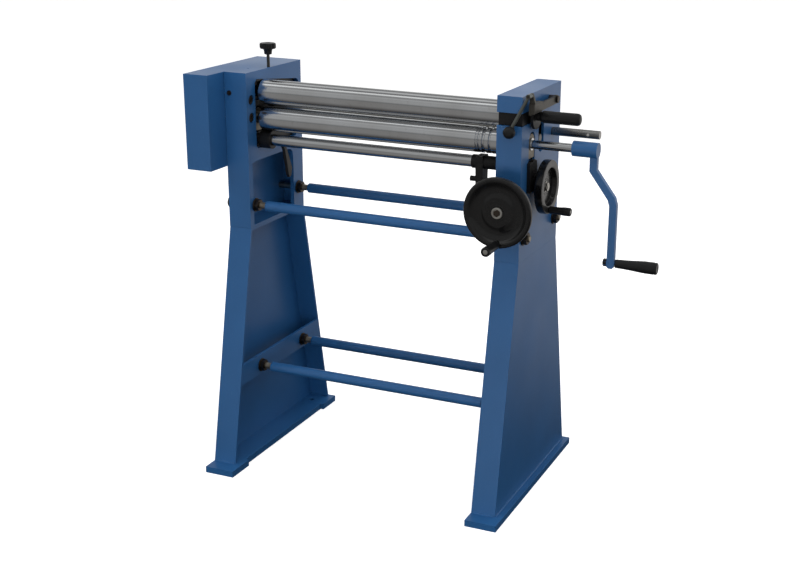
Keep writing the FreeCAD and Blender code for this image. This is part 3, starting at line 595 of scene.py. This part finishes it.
# brightness of the studio round the roll axis: 0 is the front horizon, 0.5 overhead, 1 the back
studioBands = [
    (0.0, 0.2), (0.04, 0.23), (0.06, 0.33), (0.08, 0.37), (0.126, 0.39), (0.216, 0.375),
    (0.262, 0.46), (0.31, 0.32), (0.357, 0.26), (0.385, 0.45), (0.41, 0.98), (0.455, 0.92),
    (0.49, 0.2), (0.516, 0.15), (0.545, 0.28), (0.573, 0.4), (0.63, 0.72), (0.67, 0.6),
    (0.7, 0.24), (0.8, 0.26), (0.86, 0.36), (0.92, 0.78), (1.0, 0.8)]
lamps = {
    "topLamp": {"place": (0.3, -0.5, 3.4), "aim": (0, 0, 0.5), "size": (3.4, 1.6), "power": 24},
    "keyLamp": {"place": (2.2, -2.4, 3.0), "aim": (0, 0, 0.6), "size": (1.6, 1.6), "power": 15},
    "fillLamp": {"place": (-3.2, -2.2, 2.6), "aim": (0, 0, 0.5), "size": (1.8, 1.8), "power": 16},
    "frontLamp": {"place": (0.1, -2.2, 0.3), "aim": (0, 0, 0.35), "size": (2.6, 0.7), "power": 16},
    "backLamp": {"place": (0.4, 3.2, 2.6), "aim": (0, 0, 0.6), "size": (3.0, 1.2), "power": 34},
    "sideLamp": {"place": (3.4, 0.8, 1.6), "aim": (0.3, 0, 0.5), "size": (1.6, 1.6), "power": 10},
}


def makeLights():
    world = bpy.data.worlds.new("studioWorld")
    world.use_nodes = True
    tree = world.node_tree
    coords = addNode(tree, "ShaderNodeTexCoord")
    axes = addNode(tree, "ShaderNodeSeparateXYZ")
    tree.links.new(coords.outputs["Generated"], axes.inputs[0])
    front = addNode(tree, "ShaderNodeMath", operation="MULTIPLY")
    front.inputs[1].default_value = -1
    tree.links.new(axes.outputs["Y"], front.inputs[0])
    angle = addNode(tree, "ShaderNodeMath", operation="ARCTAN2")
    tree.links.new(axes.outputs["Z"], angle.inputs[0])
    tree.links.new(front.outputs[0], angle.inputs[1])
    share = spread(tree, angle.outputs[0], 0, 1, 0, math.pi)
    bands = rampOf(tree, share, [(place, (v, v, v * 0.99)) for place, v in studioBands])
    background = tree.nodes["Background"]
    tree.links.new(bands, background.inputs["Color"])
    background.inputs["Strength"].default_value = 1.0
    # the eye sees plain white past the floor's edge
    white = addNode(tree, "ShaderNodeBackground")
    white.inputs["Color"].default_value = (1.2, 1.2, 1.2, 1)
    path = addNode(tree, "ShaderNodeLightPath")
    pick = addNode(tree, "ShaderNodeMixShader")
    tree.links.new(path.outputs["Is Camera Ray"], pick.inputs["Fac"])
    tree.links.new(background.outputs[0], pick.inputs[1])
    tree.links.new(white.outputs[0], pick.inputs[2])
    tree.links.new(pick.outputs[0], tree.nodes["World Output"].inputs["Surface"])
    bpy.context.scene.world = world
    for name, lamp in lamps.items():
        deselectAll()
        bpy.ops.object.light_add(type="AREA", location=lamp["place"])
        light = bpy.context.object
        light.name = name
        light.data.shape = "RECTANGLE"
        light.data.size, light.data.size_y = lamp["size"]
        light.data.energy = lamp["power"]
        light.visible_glossy = False
        aim = Vector(lamp["aim"]) - Vector(lamp["place"])
        light.rotation_euler = aim.to_track_quat("-Z", "Y").to_euler()
    bpy.context.scene.view_settings.view_transform = "Standard"


makeCamera()
makeFloor()
makeLights()
print("camera, floor and lights made")

frameParts = {
    "stand_left": {"edge": 0.0026, "segments": 3}, "stand_right": {"edge": 0.0026, "segments": 3},
    "column_left": {"edge": 0.0022, "segments": 3},
    "column_right": {"edge": 0.0022, "segments": 3},
    "gear_cover": {"edge": 0.0009, "segments": 2}, "crank_arm": {"edge": 0.0022, "segments": 3},
}
plateScrews = {
    "x": -0.32, "y": -0.109, "heights": (0.914, 0.871), "radius": 0.0124, "sunk": 0.006,
    "head": 0.0108, "socket": 0.0056}
oilHole = {"place": (-0.355, -0.062, 0.981), "radius": 0.0024, "deep": 0.006}


def columnOpenings(name):
    # recesses of the two plate screws and the oil hole on the top of the left column
    if name != "column_left":
        return []
    x, sunk = plateScrews["x"], plateScrews["sunk"]
    cutters = [turnedPiece([(-sunk, plateScrews["radius"]), (0.004, plateScrews["radius"])],
                           (x, plateScrews["y"], z), "+X", 32) for z in plateScrews["heights"]]
    cutters.append(turnedPiece([(-oilHole["deep"], oilHole["radius"]), (0.004, oilHole["radius"])],
                               oilHole["place"], "+Z", 24))
    return cutters


for name, look in frameParts.items():
    piece = softCopy(name, look["edge"], look["segments"], 30, 1, columnOpenings(name))
    finishPiece(piece, name + "Body", bodyOf[name], (bluePaint, edgePaint), [name])
for name in ("bearing_plate_left", "bearing_plate_right"):
    piece = softCopy(name, 0.0006, 2)
    finishPiece(piece, name + "Body", bodyOf[name], [blackPaint], [name])
print("painted sheet metal made")


weld = {
    "radius": 0.0028, "ripple": 0.003, "dip": 0.84, "end": 0.5, "height": 0.0165,
    "side": 0.3805, "sideHalf": 0.243, "across": (0.323, 0.377), "front": 0.2455}


def weldBead(start, end):
    # rippled seam of weld that runs along +X or +Y
    run = Vector(end) - Vector(start)
    axis = "+X" if run.x > run.y else "+Y"
    count = int(run.length / weld["ripple"])
    radius = weld["radius"]
    profile = [(0, radius * weld["end"])]
    for index in range(1, count * 2):
        wave = 1.0 if index % 2 else weld["dip"]
        profile.append((run.length * index / (count * 2), radius * wave))
    profile.append((run.length, radius * weld["end"]))
    return turnedPiece(profile, start, axis, 10)


height, side, half = weld["height"], weld["side"], weld["sideHalf"]
beads = [weldBead((side, -half, height), (side, half, height))]
inner, outer = weld["across"]
for start, end in ((inner, outer), (-outer, -inner)):
    for y in (-weld["front"], weld["front"]):
        beads.append(weldBead((start, y, height), (end, y, height)))
finishPiece(joinPieces(beads), "weldBeads", "frame", [bluePaint], (), 60)

plateScrewParts = []
for height in plateScrews["heights"]:
    base, head = plateScrews["x"] - plateScrews["sunk"], plateScrews["head"]
    screw = turnedPiece([(0, head), (0.0032, head), (0.004, head - 0.0008), (0.0041, 0.0004)],
                        (base, plateScrews["y"], height), "+X", 40)
    takeAway(screw, [hexPiece((base + 0.0016, plateScrews["y"], height), "+X",
                              plateScrews["socket"], 0.006)])
    plateScrewParts.append(screw)
finishPiece(joinPieces(plateScrewParts), "plateScrewHeads", "frame", [nutSteel], ())

coverScrew = {
    "place": (-0.367, -0.131, 0.931), "washer": 0.0062, "seat": 0.001, "head": 0.0046,
    "headLong": 0.0034}
washer = turnedPiece([(0, coverScrew["washer"]), (0.0008, coverScrew["washer"]),
                      (0.0011, coverScrew["washer"] - 0.0006)], coverScrew["place"], "-Y", 32)
seat = Vector(coverScrew["place"]) - Vector((0, coverScrew["seat"], 0))
head = hexPiece(seat, "-Y", coverScrew["head"], coverScrew["headLong"])
tip = turnedPiece([(0, 0.0024), (0.006, 0.0024), (0.0066, 0.0018)], coverScrew["place"], "-Y", 24)
finishPiece(joinPieces([washer, head, tip]), "coverScrewHead", "frame", [nutSteel], ())
print("welds and screws made")

rollShapes = {
    "topRoll": {
        "node": "top_roll", "centre": (0, -0.063, 0.9291),
        "profile": [(-0.34, 0.0088), (-0.3616, 0.0088), (-0.362, 0.0092), (-0.362, 0.0134),
                    (-0.3614, 0.014), (-0.312, 0.014), (-0.312, 0.0283),
                    (-0.3116, 0.0292), (-0.3108, 0.0298), (-0.3098, 0.03), (0.3098, 0.03),
                    (0.3108, 0.0298), (0.3116, 0.0292), (0.312, 0.0283), (0.312, 0.012),
                    (0.388, 0.012), (0.389, 0.011)]},
    "rearRoll": {
        "node": "rear_roll", "centre": (0, -0.001, 0.867),
        "profile": [(-0.373, 0.009), (-0.372, 0.01), (-0.312, 0.01), (-0.312, 0.0283),
                    (-0.3116, 0.0292), (-0.3108, 0.0298), (-0.3098, 0.03), (0.3098, 0.03),
                    (0.3108, 0.0298), (0.3116, 0.0292), (0.312, 0.0283), (0.312, 0.01),
                    (0.377, 0.01), (0.378, 0.009)]},
    "lowerRoll": {
        "node": "lower_roll", "centre": (0, -0.063, 0.8645),
        "profile": [(-0.406, 0.009), (-0.405, 0.01), (-0.39, 0.01), (-0.39, 0.014),
                    (-0.312, 0.014), (-0.312, 0.0283), (-0.3116, 0.0292), (-0.3108, 0.0298),
                    (-0.3098, 0.03)]},
}
wireGrooves = ((0.254, 0.002), (0.2605, 0.0026), (0.2715, 0.004), (0.287, 0.003))
for centre, wide in wireGrooves:
    for step in range(9):
        angle = math.pi * step / 8
        rollShapes["lowerRoll"]["profile"].append(
            (centre - wide * math.cos(angle), 0.03 - wide * math.sin(angle)))
rollShapes["lowerRoll"]["profile"] += [
    (0.3098, 0.03), (0.3108, 0.0298), (0.3116, 0.0292), (0.312, 0.0283), (0.312, 0.014),
    (0.381, 0.014), (0.381, 0.01), (0.52, 0.01)]
pinGroove = {"reach": (-0.363, -0.344), "half": 0.012, "thick": 0.00275}
# the wire grooves below the roll's surface and the rear roll's ends take a darker metal; one
# shoulder ring is painted dark as shade
darkFaces = {"below": 0.0299, "wideGroove": 0.0028, "cleanMiddle": 0.0016,
             "shoulder": (0.3805, 0.3815), "rearEnd": 0.372}
for name, shape in rollShapes.items():
    roll = turnedPiece(shape["profile"], shape["centre"], "+X", 128)
    if name == "topRoll":
        # groove for the cross pin of the driving ball
        y, z = shape["centre"][1:]
        low, high = pinGroove["reach"]
        half, thick = pinGroove["half"], pinGroove["thick"]
        takeAway(roll, [boxPiece((low, y - half, z - thick), (high, y + half, z + thick))])
    if name == "lowerRoll":
        away = radiusFrom(shape["centre"], "+X")
        for centre, wide in wireGrooves:
            clean = darkFaces["cleanMiddle"] if wide > darkFaces["wideGroove"] else 0
            facesWhere(roll, 1, lambda p: clean <= abs(p.x - centre) < wide
                       and away(p) < darkFaces["below"])
        # painted shade: the ring at the crank end, where the journal steps down, is darkened
        low, high = darkFaces["shoulder"]
        facesWhere(roll, 1, lambda p: low < p.x < high)
    if name == "rearRoll":
        facesWhere(roll, 1, lambda p: abs(p.x) > darkFaces["rearEnd"])
    finishPiece(roll, name, bodyOf[shape["node"]],
                [shadedRearSteel if name == "rearRoll" else rollSteel, nutSteel], [shape["node"]],
                40)
print("rolls made")

tie = {
    "across": {"front": -0.105, "rear": 0.105}, "heights": {"upper": 0.655, "lower": 0.234},
    "seats": {"upper": 0.38, "lower": 0.328}, "core": 0.0074, "thread": 0.0079, "pitch": 0.002,
    "nut": 0.0149, "nutLong": 0.0099, "washer": 0.0169, "washerThick": 0.0029, "past": 0.017,
    "chamfer": 0.0012, "plate": 0.32, "threadDepth": 0.0006, "endTurns": 2, "innerTurns": 9,
    "endStart": (0.0125, 0.0168), "innerStart": (0.2885, 0.3068),
}


def nutSet(outward):
    # washer and nut on a face at x = 0, standing out along +X or -X
    washer = turnedPiece([(0, tie["washer"] - 0.0006), (0.0006, tie["washer"]),
                          (tie["washerThick"] - 0.0008, tie["washer"]),
                          (tie["washerThick"], tie["washer"] - 0.0008)], (0, 0, 0), outward, 48)
    step = tie["washerThick"] if outward == "+X" else -tie["washerThick"]
    nut = hexPiece((step, 0, 0), outward, tie["nut"], tie["nutLong"])
    return coatWith(joinPieces([washer, nut]), nutSteel)


outwardNut, inwardNut = nutSet("+X"), nutSet("-X")
endThread, innerThread = [
    coatWith(threadPiece((0, 0, 0), "+X", tie["thread"], tie["threadDepth"], tie["pitch"],
                         tie[turns]), brassyStud) for turns in ("endTurns", "innerTurns")]
for level, height in tie["heights"].items():
    seat = tie["seats"][level]
    reach = seat + tie["past"]
    narrow = tie["core"] - tie["chamfer"]
    for place, across in tie["across"].items():
        core = turnedPiece([(-reach, narrow), (0.001 - reach, tie["core"]),
                            (reach - 0.001, tie["core"]), (reach, narrow)],
                           (0, across, height), "+X", 40)
        parts = [coatWith(core, brassyStud)]
        (endRight, endLeft), (innerRight, innerLeft) = tie["endStart"], tie["innerStart"]
        for template, x in ((outwardNut, seat), (inwardNut, -seat), (inwardNut, tie["plate"]),
                            (outwardNut, -tie["plate"]), (endThread, seat + endRight),
                            (endThread, -seat - endLeft), (innerThread, innerRight),
                            (innerThread, -innerLeft)):
            parts.append(copyPiece(template, (x, across, height)))
        node = f"tie_stud_{level}_{place}"
        finishPiece(joinPieces(parts), f"tieStud{level.title()}{place.title()}", bodyOf[node],
                    None, [node])
        node = f"tie_tube_{level}_{place}"
        tube = softCopy(node, 0.0008, 2, 30, 1)
        finishPiece(tube, f"tieTube{level.title()}{place.title()}", bodyOf[node],
                    (bluePaint, edgePaint), [node], 40)
for template in (outwardNut, inwardNut, endThread, innerThread):
    bpy.data.objects.remove(template, do_unlink=True)
print("tie rods made")

frontWheel = {
    "centre": (0.3455, -0.18, 0.728), "axis": "-Y",
    "profile": millimetres([
        (-24, 8), (-24, 15.5), (-23.2, 16.6), (-10, 17.6), (-8.4, 19), (-8, 21), (-8, 66),
        (-8.4, 69), (-9, 71.5), (-9, 75.5), (-7.6, 78.6), (-5, 80.4), (-2, 81), (2, 81),
        (5, 80.4), (7.6, 78.4), (8.9, 75.6), (8.9, 73.4), (8.2, 71), (6.4, 68.6), (3.2, 66),
        (-0.4, 62.4), (-3.4, 57.6), (-5, 52), (-5.2, 47.5), (-4.4, 43), (-2.6, 39), (-0.9, 36),
        (0, 33), (0.2, 30), (0.2, 18.5), (0.8, 17.6), (1, 16), (1, 8)]),
    "worn": (0.0795, 0.082), "isFront": lambda p: True}
sideWheel = {
    "centre": (0.402, -0.0245, 0.7605), "axis": "+X",
    "profile": millimetres([
        (-9.5, 8), (-9.5, 14.4), (-8.8, 15.2), (-4.4, 16.8), (-4, 18), (-4, 50.5), (-4.6, 52.8),
        (-6, 55), (-6, 60), (-5, 62.2), (-3, 63), (10.6, 63), (12.4, 62.2), (13, 60.6), (13, 47.2),
        (12.2, 45.4), (10.4, 44.4), (4.4, 43.2), (2.4, 42), (2, 39.6), (2, 20), (1.4, 18.4),
        (1, 17), (1, 8)]),
    "worn": (0.0445, 0.0632), "isFront": lambda p: p[0] > 0.4137}


def wheelPin(place, axis, start, end, seatRadius, seatEnd):
    seat = turnedPiece(millimetres([(start, seatRadius), (seatEnd - 0.8, seatRadius),
                                    (seatEnd, seatRadius - 1)]), place, axis, 40)
    pin = turnedPiece(millimetres([(start, 4), (end - 0.6, 4), (end, 3.4)]), place, axis, 32)
    return [coatWith(seat, blackCasting), coatWith(pin, zincSteel)]


def wheelPiece(look, name, node, pinParts):
    wheel = turnedPiece(look["profile"], look["centre"], look["axis"], 128, True)
    wheel.data.materials.append(blackCasting)
    wheel.data.materials.append(wornRim)
    away = radiusFrom(look["centre"], look["axis"])
    low, high = look["worn"]
    facesWhere(wheel, 1, lambda p: low < away(p) < high and look["isFront"](p))
    finishPiece(joinPieces([wheel] + pinParts), name, bodyOf[node], None, [node], 40)


wheelPiece(frontWheel, "frontWheel", "wheel_front",
           wheelPin((0.347, -0.18, 0.657), "-Y", -4, 70, 8, 9.8))
wheelPiece(sideWheel, "sideWheel", "wheel_side",
           wheelPin((0.402, -0.03, 0.708), "+X", -4, 60, 7, 13.6))


def gripPiece(name, node, look):
    # moulded grip with a recess for the screw that holds it on its pin
    start, end, radius = look["start"], look["end"], look["radius"]
    body = turnedPiece(millimetres([
        (start, radius - 3.2), (start + 0.5, radius - 1.8), (start + 2.4, radius - 1),
        (start + 12, radius - 1.5), (start + 26, radius - 1.1), (end - 18, radius - 0.2),
        (end - 12, radius), (end - 3.4, radius), (end - 1.2, radius - 0.7),
        (end - 0.2, radius - 2), (end, radius - 3.2), (end - 0.2, radius - 4.6),
        (end - 2.6, radius - 4.9), (end - 2.6, 0.4)]),
        look["place"], look["axis"], 56)
    screw = turnedPiece(millimetres([
        (end - 2.8, radius - 5.1), (end - 1.5, radius - 5.2), (end - 0.8, radius - 5.9),
        (end - 0.5, radius - 7.4), (end - 0.5, 0.4)]), look["place"], look["axis"], 40)
    x, y, z = look["place"]
    far = (end - 1.3) / 1000
    wide, long, depth = 0.0007, (radius - 4.5) / 1000, 0.003
    if look["axis"] == "+X":
        slotCut = boxPiece((x + far, y - wide, z - long), (x + far + depth, y + wide, z + long))
    else:
        slotCut = boxPiece((x - wide, y - far - depth, z - long), (x + wide, y - far, z + long))
    takeAway(screw, [slotCut])
    parts = [coatWith(body, blackPlastic), coatWith(screw, zincSteel)]
    finishPiece(joinPieces(parts), name, bodyOf[node], None, [node], 36)


gripPiece("frontWheelGrip", "wheel_front_grip", {
    "start": 10.5, "end": 76, "radius": 11, "place": (0.347, -0.18, 0.657), "axis": "-Y"})
gripPiece("sideWheelGrip", "wheel_side_grip", {
    "start": 14, "end": 66, "radius": 10, "place": (0.402, -0.03, 0.708), "axis": "+X"})

frontSpindle = {"x": 0.3455, "z": 0.728, "worm": (-0.041, 0.011, 0.0034, 0.00777, 6)}
x, z = frontSpindle["x"], frontSpindle["z"]
wormStart, wormRadius, wormDepth, wormPitch, wormTurns = frontSpindle["worm"]
spindle = turnedPiece(millimetres([(35, 7), (36, 8), (181, 8)]), (x, 0, z), "-Y", 48)
worm = threadPiece((x, wormStart, z), "-Y", wormRadius, wormDepth, wormPitch, wormTurns, 28)
ring = turnedPiece(millimetres([
    (181, 13), (181.4, 13.5), (185.4, 13.5), (186.6, 12.6), (187, 11.4), (187, 9.4), (186.4, 8.6),
    (184, 8.2), (184, 0.4)]), (x, 0, z), "-Y", 56)
centre = hexPiece((x, -0.1835, z), "-Y", 0.0078, 0.0032)
parts = [coatWith(spindle, shaftSteel), coatWith(worm, gearSteel), coatWith(ring, zincSteel),
         coatWith(centre, nutSteel)]
finishPiece(joinPieces(parts), "frontSpindle", "front_wheel", None, ["wheel_front_shaft"],
            40)

sideSpindle = {"y": -0.0245, "z": 0.7605, "nut": 0.0104}
y, z = sideSpindle["y"], sideSpindle["z"]
head = turnedPiece([(0.4028, 0.02), (0.412, 0.02)], (0, y, z), "+X", 32)
shaft = softCopy("wheel_side_shaft", 0.0003, 2, 30, -1, [head])
washer = turnedPiece([(0.403, 0.0114), (0.4034, 0.0119), (0.4042, 0.0119), (0.4046, 0.0112)],
                     (0, y, z), "+X", 48)
nut = hexPiece((0.4046, y, z), "+X", sideSpindle["nut"], 0.0044)
tip = turnedPiece([(0.403, 0.0058), (0.4094, 0.0058), (0.41, 0.0051)], (0, y, z), "+X", 32)
parts = [coatWith(shaft, gearSteel), coatWith(washer, zincSteel), coatWith(nut, zincSteel),
         coatWith(tip, zincSteel)]
finishPiece(joinPieces(parts), "sideSpindle", "side_wheel", None, ["wheel_side_shaft"],
            36)
print("handwheels made")

crankGrip = {
    "place": (0.588, -0.063, 0.61),
    "profile": millimetres([
        (0, 7.5), (0.4, 9), (1.6, 9.7), (4, 10), (20, 10.5), (38, 11.5), (52, 12.7), (62, 13.5),
        (70, 13.95), (76, 14), (90, 14), (90.6, 13.5), (91.6, 13.3), (92.6, 13.5), (93.2, 13.9),
        (95.6, 13.7), (97.2, 12.8), (97.9, 11.4), (98, 9.6), (97.4, 6.6), (97, 6), (97, 0.4)])}
grip = turnedPiece(crankGrip["profile"], crankGrip["place"], "+X", 64)
finishPiece(grip, "crankGrip", "crank_grip", [blackPlastic], ["crank_grip"],
            36)
crankPin = {"nutStart": 0.5598, "nut": 0.0092, "nutLong": 0.0088,
            "end": [(0.5585, 0.004), (0.562, 0.005)]}
y, z = crankGrip["place"][1:]
pinNut = hexPiece((crankPin["nutStart"], y, z), "+X", crankPin["nut"], crankPin["nutLong"])
pinEnd = turnedPiece(crankPin["end"], (0, y, z), "+X", 32)
finishPiece(joinPieces([pinNut, pinEnd]), "crankPinNut", "lower_roll", [blackPaint], ())

topGrip = {
    "place": (0.399, -0.063, 0.9291),
    "profile": millimetres([
        (0, 9), (0.4, 10.6), (1.6, 11.4), (4, 11.7), (5.4, 12.6), (6.4, 13.7), (8, 14), (40, 13.7),
        (84, 14), (88, 13.9), (91, 12.8), (93, 11), (94.3, 8.4), (94.9, 5), (95, 0.4)])}
grip = turnedPiece(topGrip["profile"], topGrip["place"], "+X", 64)
finishPiece(grip, "topGrip", "top_carriage", [blackPlastic], ["top_grip"],
            36)

bushBlock = {"low": (0.3215, -0.1245, 0.9147), "high": (0.3785, -0.063, 0.9435)}
block = boxPiece(bushBlock["low"], bushBlock["high"], 0.0012)
finishPiece(block, "topBushBlock", "top_carriage", [blackPaint], ())
print("grips made")

latch = {"hub": (0.395, -0.134, 0.984), "ball": (0.357, -0.15, 0.904), "radius": 0.014,
         "blackFrom": -0.0725}
bar = softCopy("latch_bar", 0.0008, 2)
facesWhere(bar, 1, lambda p: p.y < latch["blackFrom"])
finishPiece(bar, "latchBar", "latch", [barSteel, blackPaint], ["latch_bar"])
lever = softCopy("latch_lever", 0.0005, 2)
finishPiece(lever, "latchLever", "latch_lever", [rodSteel], ["latch_lever"],
            36)

radius = latch["radius"]
ballProfile = []
for step in range(25):
    angle = math.radians(-88 + step * 146 / 24)
    ballProfile.append((radius * math.sin(angle), radius * math.cos(angle)))
ballProfile += [(0.0126, 0.0064), (0.0138, 0.006), (0.0142, 0.0052), (0.0142, 0.004)]
ball = turnedPiece(ballProfile, (0, 0, 0), "+Z", 56)
toHub = Vector(latch["hub"]) - Vector(latch["ball"])
ball.rotation_mode = "QUATERNION"
ball.rotation_quaternion = toHub.to_track_quat("Z", "Y")
ball.location = latch["ball"]
finishPiece(ball, "latchBall", "latch_lever", [blackPlastic], ["latch_ball"],
            36)

starKnob = {"place": (-0.325, -0.017, 1.026), "lobes": 6, "scallop": 0.0064, "out": 0.0232}
place = Vector(starKnob["place"])
head = turnedPiece(millimetres([
    (0, 13), (0, 17.4), (0.8, 19.2), (2.6, 20), (10.4, 20), (12.6, 19.3), (13.6, 17.6), (14, 15),
    (14, 6.4), (13.3, 5.6), (13.2, 0.4)]), place, "+Z", 96)
cutters = []
for lobe in range(starKnob["lobes"]):
    angle = math.radians(37.5 + 60 * lobe)
    spot = place + Vector((math.cos(angle), math.sin(angle), 0)) * starKnob["out"]
    cutters.append(turnedPiece([(-0.004, starKnob["scallop"]), (0.018, starKnob["scallop"])],
                               spot, "+Z", 32))
takeAway(head, cutters)
roundEdges(head, 0.0011, 3, 40)
neck = turnedPiece(millimetres([
    (-14, 7), (-13.6, 8.4), (-12.4, 9.2), (-5, 10), (-2.4, 11), (-0.8, 12.6), (0.4, 13.4)]),
    place, "+Z", 56)
stem = turnedPiece(millimetres([(-78, 3), (-77, 3.7), (-13, 3.7)]), place, "+Z", 32)
stemThread = threadPiece(place + Vector((0, 0, -0.072)), "+Z", 0.0039, 0.0005, 0.0015, 36, 16)
parts = [coatWith(head, blackPlastic), coatWith(neck, blackPlastic), coatWith(stem, barSteel),
         coatWith(stemThread, barSteel)]
finishPiece(joinPieces(parts), "starKnob", "star_knob", None, ["star_knob"],
            36)
print("latch and knob made")

fineParts = {
    "lower_block_left": {"edge": 0.0006, "finish": oiledSteel},
    "lower_block_right": {"edge": 0.0006, "finish": oiledSteel},
    "gear_lower": {"edge": 0.0005, "finish": gearSteel},
    "gear_top": {"edge": 0.0005, "finish": gearSteel},
    "lift_sector": {"edge": 0.0003, "finish": gearSteel},
    "rear_shaft": {"edge": 0.0006, "finish": shaftSteel},
    "lift_shaft": {"edge": 0.0006, "finish": rollSteel},
    "latch_pin": {"edge": 0.0008, "finish": nutSteel},
    "lift_arm_right": {"edge": 0.001, "finish": blackPaint},
    "lift_end_plate": {"edge": 0.0007, "finish": blackPaint},
}
for name in nodes:
    if nodes[name].hide_render:
        continue
    look = fineParts.get(name, {"edge": 0.0005, "finish": finishOf[slotOf[name]]})
    piece = softCopy(name, look["edge"], 2)
    finishPiece(piece, name + "Body", bodyOf[name], [look["finish"]], [name])
print("other pieces made")
